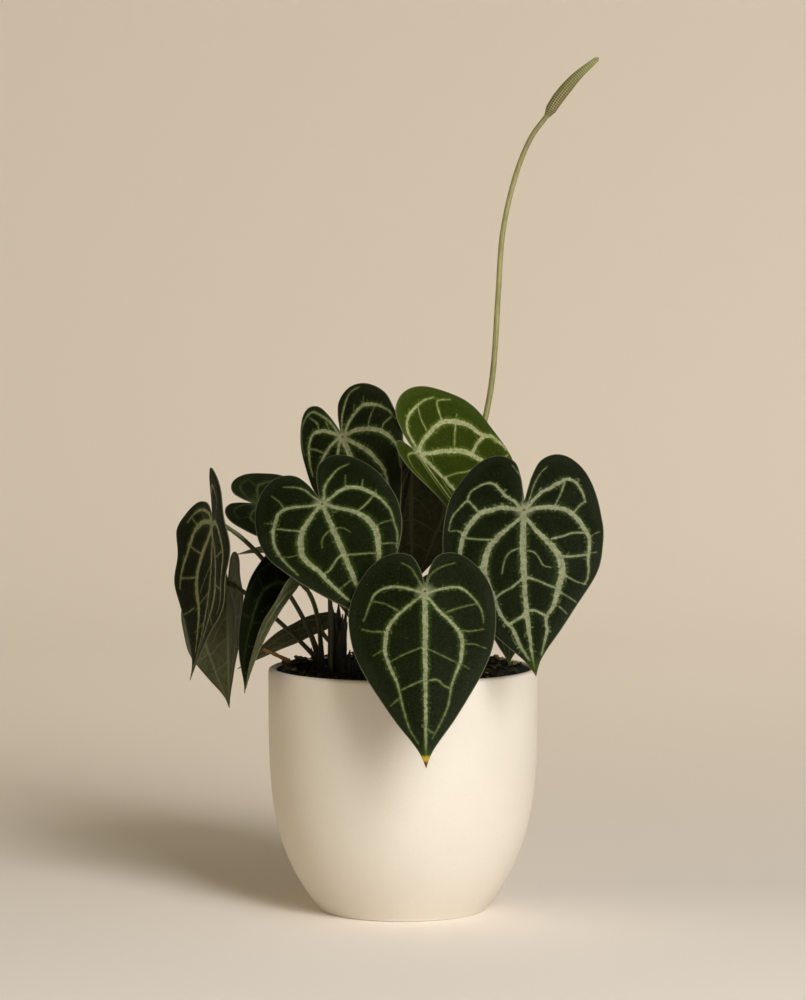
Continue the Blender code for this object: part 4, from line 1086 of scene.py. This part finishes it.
def add_leaf(name, leaf, material):
    """A thin blade, quilted between its veins, with grooves on its top and ridges below along them."""
    sheet, triangles, loop, veins, spurs = blade_sheet(leaf)
    vein, size = inside_by(sheet, veins)
    spur = inside_by(sheet, spurs)[0]
    edge = -inside_by(sheet, [loop])[0]
    middle = bend_blade(sheet, leaf) / MM
    face = leaf_axes(leaf)[2]
    normal = vertex_normals(middle, triangles)
    joint_normal = normal[np.argmin(np.linalg.norm(sheet, axis=1))]
    if joint_normal @ face < 0:
        triangles = triangles[:, ::-1]
        normal = -normal
    wide = np.clip(size / 0.8, 0.3, 1)
    away = np.clip(-vein, 0, None)
    fade = np.clip(edge / 2.5, 0, 1)
    quilt = QUILT * (1 - wide * np.exp(-away / QUILT_REACH)) * fade
    uneven = [noise.noise(Vector((x, y, leaf["length"])) * WRINKLE_FREQUENCY) for x, y in sheet]
    wrinkle = np.array(uneven) * WRINKLE * fade
    half_blade = BLADE / 2 * (EDGE_BLADE + (1 - EDGE_BLADE) * np.clip(edge / 1.5, 0, 1))
    ridge = RIDGE * np.sqrt(np.clip(vein, 0, 1))
    groove = GROOVE * np.clip(vein / 0.6, 0, 1)
    top = middle + normal * (quilt + wrinkle + half_blade - groove)[:, None]
    bottom = middle + normal * (quilt + wrinkle - half_blade - ridge * fade)[:, None]
    count = len(sheet)
    faces = triangles.tolist() + (triangles[:, ::-1] + count).tolist()
    for a, b in rim_of(triangles):
        faces.append((b, a, count + a, count + b))
    obj = add_mesh(f"fine_leaf_{name}", np.vstack([top, bottom]) * MM, faces, material)
    fields = {
        "vein": np.clip(vein, -12, 4),
        "size": size,
        "spur": np.clip(spur, -12, 4),
        "edge": np.clip(edge, 0, 30),
        "along": sheet[:, 1] / leaf["length"],
        "ripe": sheet[:, 1] / leaf["length"] * leaf["ripe"],
        "joint": np.linalg.norm(sheet, axis=1),
    }
    for field, values in fields.items():
        add_field(obj, field, np.tile(values, 2))
    add_field(obj, "top", np.repeat([1.0, 0.0], count))
    slot = "young_leaf" if leaf["look"] == "young" else "leaf"
    return stand_for(obj, slot, f"leaf_{name}")


def add_tube(name, points, radii, material, sides=16, rounded_tip=True):
    """A closed round tube along the points, with the way along it as the field along."""
    points = [Vector(p) for p in points]
    vertices = []
    along = []
    side = None
    count = len(points)
    for k, (point, radius) in enumerate(zip(points, radii)):
        ahead = (points[min(k + 1, count - 1)] - points[max(k - 1, 0)]).normalized()
        if side is None:
            side = ahead.orthogonal().normalized()
        side = (side - ahead * side.dot(ahead)).normalized()
        other = ahead.cross(side)
        for n in range(sides):
            angle = 2 * pi * n / sides
            vertices.append(point + (side * cos(angle) + other * sin(angle)) * radius)
            along.append(k / (count - 1))
    tip = points[-1]
    if rounded_tip:
        tip = tip + (points[-1] - points[-2]).normalized() * radii[-1] * 0.4
    vertices += [points[0], tip]
    along += [0.0, 1.0]
    obj = add_mesh(name, vertices, tube_faces(count, sides), material)
    add_field(obj, "along", along)
    return obj


def bezier(start, leave, arrive, end, steps):
    """Points along a curve that leaves its start and arrives at its end by the two points between."""
    points = []
    for k in range(steps + 1):
        t = k / steps
        s = 1 - t
        points.append(start * s**3 + leave * (3 * s * s * t) + arrive * (3 * s * t * t) + end * t**3)
    return points


def stalk_foot(crown, slot):
    """Where a stalk stands on its growing point's ring."""
    centre = CROWNS[crown]["centre"]
    ring = CROWNS[crown]["ring"]
    return (centre[0] + ring * cos(radians(slot)), centre[1] + ring * sin(radians(slot)))


def stalk_radius(t):
    """Wide at the foot, slim along the stalk, then a narrow neck and a swollen joint below the blade."""
    foot = (STALK_BASE - STALK_MIDDLE) * max(0.0, 1 - t / 0.35) ** 1.5
    swell = (STALK_JOINT - STALK_MIDDLE) * min(max(0.0, (t - 0.86) / 0.06), 1.0)
    neck = -0.18 * MM * max(0.0, 1 - abs(t - 0.84) / 0.03)
    return STALK_MIDDLE + foot + swell + neck


def add_stalk(name, leaf, material):
    """A leaf's stalk from its hole in the soil to the underside of its blade."""
    foot = stalk_foot(leaf["crown"], leaf["slot"])
    face = Vector(leaf_axes(leaf)[2])
    start = Vector((*foot, STRAIGHT_TO))
    end = Vector(leaf["joint"]) * MM - face * STALK_END_GAP
    leave = start + UP * leaf["rise"] * MM
    arrive = end - face * leaf["arrive"] * MM
    points = [Vector((*foot, STALK_FOOT_Z))] + bezier(start, leave, arrive, end, STALK_STEPS)
    radii = [STALK_BASE] + [stalk_radius(k / STALK_STEPS) for k in range(STALK_STEPS + 1)]
    stalk = add_tube(f"fine_stalk_{name}", points, radii, material, rounded_tip=False)
    return stand_for(stalk, "stalk", f"stalk_{name}")


def add_peduncle(material):
    foot = stalk_foot("main", PEDUNCLE_SLOT)
    route = [(foot[0] / MM, foot[1] / MM, STRAIGHT_TO / MM)] + list(PEDUNCLE_ROUTE)
    curve = even_samples(smooth_curve(route, 12), 120) * MM
    points = [Vector((*foot, STALK_FOOT_Z))] + [Vector(p) for p in curve]
    base, tip = PEDUNCLE_RADII
    radii = [(base + (tip - base) * k / (len(points) - 1)) * MM for k in range(len(points))]
    return stand_for(add_tube("fine_peduncle", points, radii, material, 20), "stalk", "peduncle")


def add_dry_stalk():
    """The shrivelled stalk that lies over the rim, uneven along its length."""
    x, y, _ = DRY_ROUTE[0]
    curve = even_samples(smooth_curve(DRY_ROUTE, 6), 26) * MM
    points = [Vector((x * MM, y * MM, STALK_FOOT_Z))] + [Vector(p) for p in curve]
    base, tip = DRY_RADII
    draw = random.Random(4)
    radii = []
    for k in range(len(points)):
        radii.append((base + (tip - base) * k / (len(points) - 1)) * MM * draw.uniform(0.82, 1.12))
    return stand_for(add_tube("fine_dry_stalk", points, radii, dry_material(), 14), "dry", "dry_stalk")


# Florets of the spadix: how many round it, the turns of their two spirals along it, and their height
FLORET_COLUMNS = 7
FLORET_ROWS = 17
FLORET_HEIGHT = 0.42 * MM

# The spadix: how far its neck reaches into its stalk, and its points
SPADIX_NECK = 3 * MM
SPADIX_RINGS = 200
SPADIX_SIDES = 90


def floret(angle, t):
    """How high the net of florets stands at an angle round the spadix and a part of the way along it."""
    round_it = FLORET_COLUMNS * angle
    along_it = 2 * pi * FLORET_ROWS * t
    bead = (0.5 + 0.5 * cos(round_it + along_it)) * (0.5 + 0.5 * cos(round_it - along_it))
    return bead + (0.5 - 0.5 * cos(round_it + along_it)) * (0.5 - 0.5 * cos(round_it - along_it))


def add_spadix():
    """The flower spike: a tapered, slightly curved rod covered by a spiral net of florets."""
    centre = even_samples(smooth_curve(SPADIX_ROUTE, 20), SPADIX_RINGS + 1) * MM
    shape = even_samples(smooth_curve([(k, r) for k, r in enumerate(SPADIX_RADII)], 20), SPADIX_RINGS + 1)
    vertices = []
    along = []
    beads = []
    for k in range(SPADIX_RINGS + 1):
        ahead = Vector(centre[min(k + 1, SPADIX_RINGS)] - centre[max(k - 1, 0)]).normalized()
        side = ahead.cross(Vector((0, 1, 0))).normalized()
        other = ahead.cross(side)
        t = k / SPADIX_RINGS
        round_off = min(1.0, (1 - t) / 0.03) ** 0.5 * min(1.0, 0.55 + t / 0.2)
        core = max(shape[k][1] * MM * round_off, 0.05 * MM)
        relief = FLORET_HEIGHT * min(1.0, (1 - t) / 0.04)
        for n in range(SPADIX_SIDES):
            angle = 2 * pi * n / SPADIX_SIDES
            bead = floret(angle, t)
            radius = core + relief * (bead**0.6 - 0.5)
            vertices.append(Vector(centre[k]) + (side * cos(angle) + other * sin(angle)) * radius)
            along.append(t)
            beads.append(bead)
    start = Vector(centre[0])
    neck = start - (Vector(centre[1]) - start).normalized() * SPADIX_NECK
    vertices += [neck, Vector(centre[-1])]
    along += [0.0, 1.0]
    beads += [0.3, 0.3]
    faces = tube_faces(SPADIX_RINGS + 1, SPADIX_SIDES)
    obj = add_mesh("fine_spadix", vertices, faces, spadix_material(), sharp_from=80)
    add_field(obj, "along", along)
    add_field(obj, "bead", beads)
    return stand_for(obj, "spadix", "spadix")


# A sheath: its rows and columns of points, and its thickness
SHEATH_ROWS = 14
SHEATH_COLUMNS = 6
SHEATH_THICKNESS = 0.45 * MM


def sheath_blade(height, wide, bow, turn, out):
    """Points and faces of one dry pointed sheath, hollowed towards the stub, as a thin closed shell."""
    rows = SHEATH_ROWS
    columns = SHEATH_COLUMNS
    vertices = []
    along = []
    for layer in (0.0, SHEATH_THICKNESS):
        for k in range(rows + 1):
            t = k / rows
            reach = wide * (1 - t**1.6) + 0.12 * MM
            for n in range(columns + 1):
                s = 2 * n / columns - 1
                ragged = 0.25 * MM * noise.noise(Vector((k * 0.9, n * 1.3, out * 900)))
                x = out + bow * t * t - 0.55 * reach * s * s + layer * (1 - 0.6 * t) + ragged
                vertices.append(Matrix.Rotation(turn, 4, "Z") @ Vector((x, reach * s, height * t)))
                along.append(t)
    faces = []
    width = columns + 1
    sheet = (rows + 1) * width
    for k in range(rows):
        for n in range(columns):
            a = k * width + n
            faces.append((a, a + width, a + width + 1, a + 1))
            faces.append((sheet + a, sheet + a + 1, sheet + a + width + 1, sheet + a + width))
    border = [(0, n) for n in range(columns)] + [(k, columns) for k in range(rows)]
    border += [(rows, n) for n in range(columns, 0, -1)] + [(k, 0) for k in range(rows, 0, -1)]
    loop = [k * width + n for k, n in border]
    for a, b in zip(loop, loop[1:] + loop[:1]):
        faces.append((a, b, sheet + b, sheet + a))
    return vertices, faces, along


def add_crown(name, crown, material):
    """A short stub with dry pointed sheaths standing round it, and dry scales outside the ring of stalks."""
    centre = crown["centre"]
    draw = random.Random(len(name) + 11)
    vertices = []
    faces = []
    along = []

    def take(new, new_faces, new_along, lift=0):
        start = len(vertices)
        vertices.extend(Vector(v) + Vector((*centre, lift)) for v in new)
        faces.extend(tuple(start + k for k in face) for face in new_faces)
        along.extend(new_along)

    profile = [(0, STALK_FOOT_Z)]
    tall = crown["top"] - STALK_FOOT_Z
    for k in range(13):
        t = k / 12
        profile.append((crown["radius"] * (1 - 0.25 * t**3), STALK_FOOT_Z + tall * t))
    profile.append((0, crown["top"] + 1 * MM))
    stub, stub_faces = turned(profile, 32)
    take(stub, stub_faces, [0.2] * len(stub))
    for k in range(crown["sheaths"]):
        turn = 2 * pi * k / crown["sheaths"] + draw.uniform(-0.2, 0.2)
        height = draw.uniform(15, 27) * MM
        out = crown["radius"] - draw.uniform(0.2, 1.4) * MM
        wide = draw.uniform(2.0, 3.2) * MM
        bow = draw.uniform(-0.6, 0.9) * MM
        take(*sheath_blade(height, wide, bow, turn, out), crown["top"] - 6 * MM)
    for angle in crown["scales"]:
        turn = radians(angle)
        out = crown["ring"] + STALK_BASE + 1.4 * MM
        height = draw.uniform(13, 25) * MM
        wide = draw.uniform(2.2, 3.0) * MM
        bow = draw.uniform(0.0, 1.6) * MM
        foot = soil_height(centre[0] + out * cos(turn), centre[1] + out * sin(turn))
        take(*sheath_blade(height, wide, bow, turn, out), foot - 1.5 * MM)
    obj = add_mesh(f"fine_crown_{name}", vertices, faces, material, sharp_from=50)
    add_field(obj, "along", along)
    return stand_for(obj, "sheath", f"crown_{name}")


def add_studio():
    """A round floor that bends up into a wall, so that every view looks onto the same paper."""
    profile = [(0.0, 0.0), (0.3, 0.0), (0.8, 0.0), (STUDIO_FLOOR, 0.0)]
    for k in range(1, STUDIO_RINGS + 1):
        angle = radians(STUDIO_TURN) * k / STUDIO_RINGS
        profile.append((STUDIO_FLOOR + STUDIO_BEND * sin(angle), STUDIO_BEND * (1 - cos(angle))))
    vertices, faces = turned(profile, STUDIO_SEGMENTS, closed=False)
    upward = [face[::-1] for face in faces]
    add_mesh("studio", vertices, upward, studio_material())


def add_area(name, place, aim, size, power, colour):
    """A rectangular light at a place, turned towards another."""
    data = bpy.data.lights.new(name, "AREA")
    data.shape = "RECTANGLE"
    data.size, data.size_y = size
    data.energy = power
    data.color = colour
    lamp = add_object(name, data)
    lamp.location = place
    lamp.rotation_euler = (Vector(place) - Vector(aim)).to_track_quat("Z", "Y").to_euler()
    lamp.visible_camera = False


def add_light():
    world = bpy.data.worlds.new("studio")
    world.use_nodes = True
    background = world.node_tree.nodes["Background"]
    background.inputs["Color"].default_value = WORLD_COLOUR
    background.inputs["Strength"].default_value = WORLD_STRENGTH
    bpy.context.scene.world = world
    turn = radians(KEY_AZIMUTH)
    rise = radians(KEY_ELEVATION)
    away = Vector((sin(turn) * cos(rise), -cos(turn) * cos(rise), sin(rise)))
    add_area("key", Vector(KEY_AIM) + away * KEY_DISTANCE, KEY_AIM, **KEY)
    add_area("fill", **FILL)
    add_area("backdrop", **BACKDROP)


def add_camera():
    data = bpy.data.cameras.new("camera")
    data.lens = CAMERA_LENS
    data.sensor_width = 36.0
    data.clip_start = 0.05
    data.clip_end = 30.0
    camera = add_object("camera", data)
    camera.location = CAMERA_PLACE
    camera.rotation_euler = (radians(90 - CAMERA_PITCH), 0.0, 0.0)
    bpy.context.scene.camera = camera


add_camera()
add_studio()
add_light()
bpy.context.scene.view_settings.view_transform = "Standard"

LEAF_MATERIALS = {name: leaf_material(name, **look) for name, look in LEAF_LOOKS.items()}
STEM = stem_material("leaf_stalk", (0.040, 0.040, 0.012), (0.075, 0.085, 0.022), (0.022, 0.020, 0.007))
BRIGHT_STEM = stem_material("light_stalk", (0.10, 0.12, 0.035), (0.16, 0.20, 0.06), (0.07, 0.08, 0.02))
FLOWER_STEM = stem_material("flower_stalk", (0.14, 0.14, 0.042), (0.27, 0.26, 0.095), (0.12, 0.10, 0.036))
SHEATH = sheath_material()

add_pot()
add_soil()
for crown_name, crown_shape in CROWNS.items():
    add_crown(crown_name, crown_shape, SHEATH)
for leaf_name, own_shape in LEAVES.items():
    leaf_shape = {**PLAIN_LEAF, **own_shape}
    add_leaf(leaf_name, leaf_shape, LEAF_MATERIALS[leaf_shape["look"]])
    add_stalk(leaf_name, leaf_shape, BRIGHT_STEM if leaf_name == "top_left" else STEM)
add_peduncle(FLOWER_STEM)
add_spadix()
add_dry_stalk()
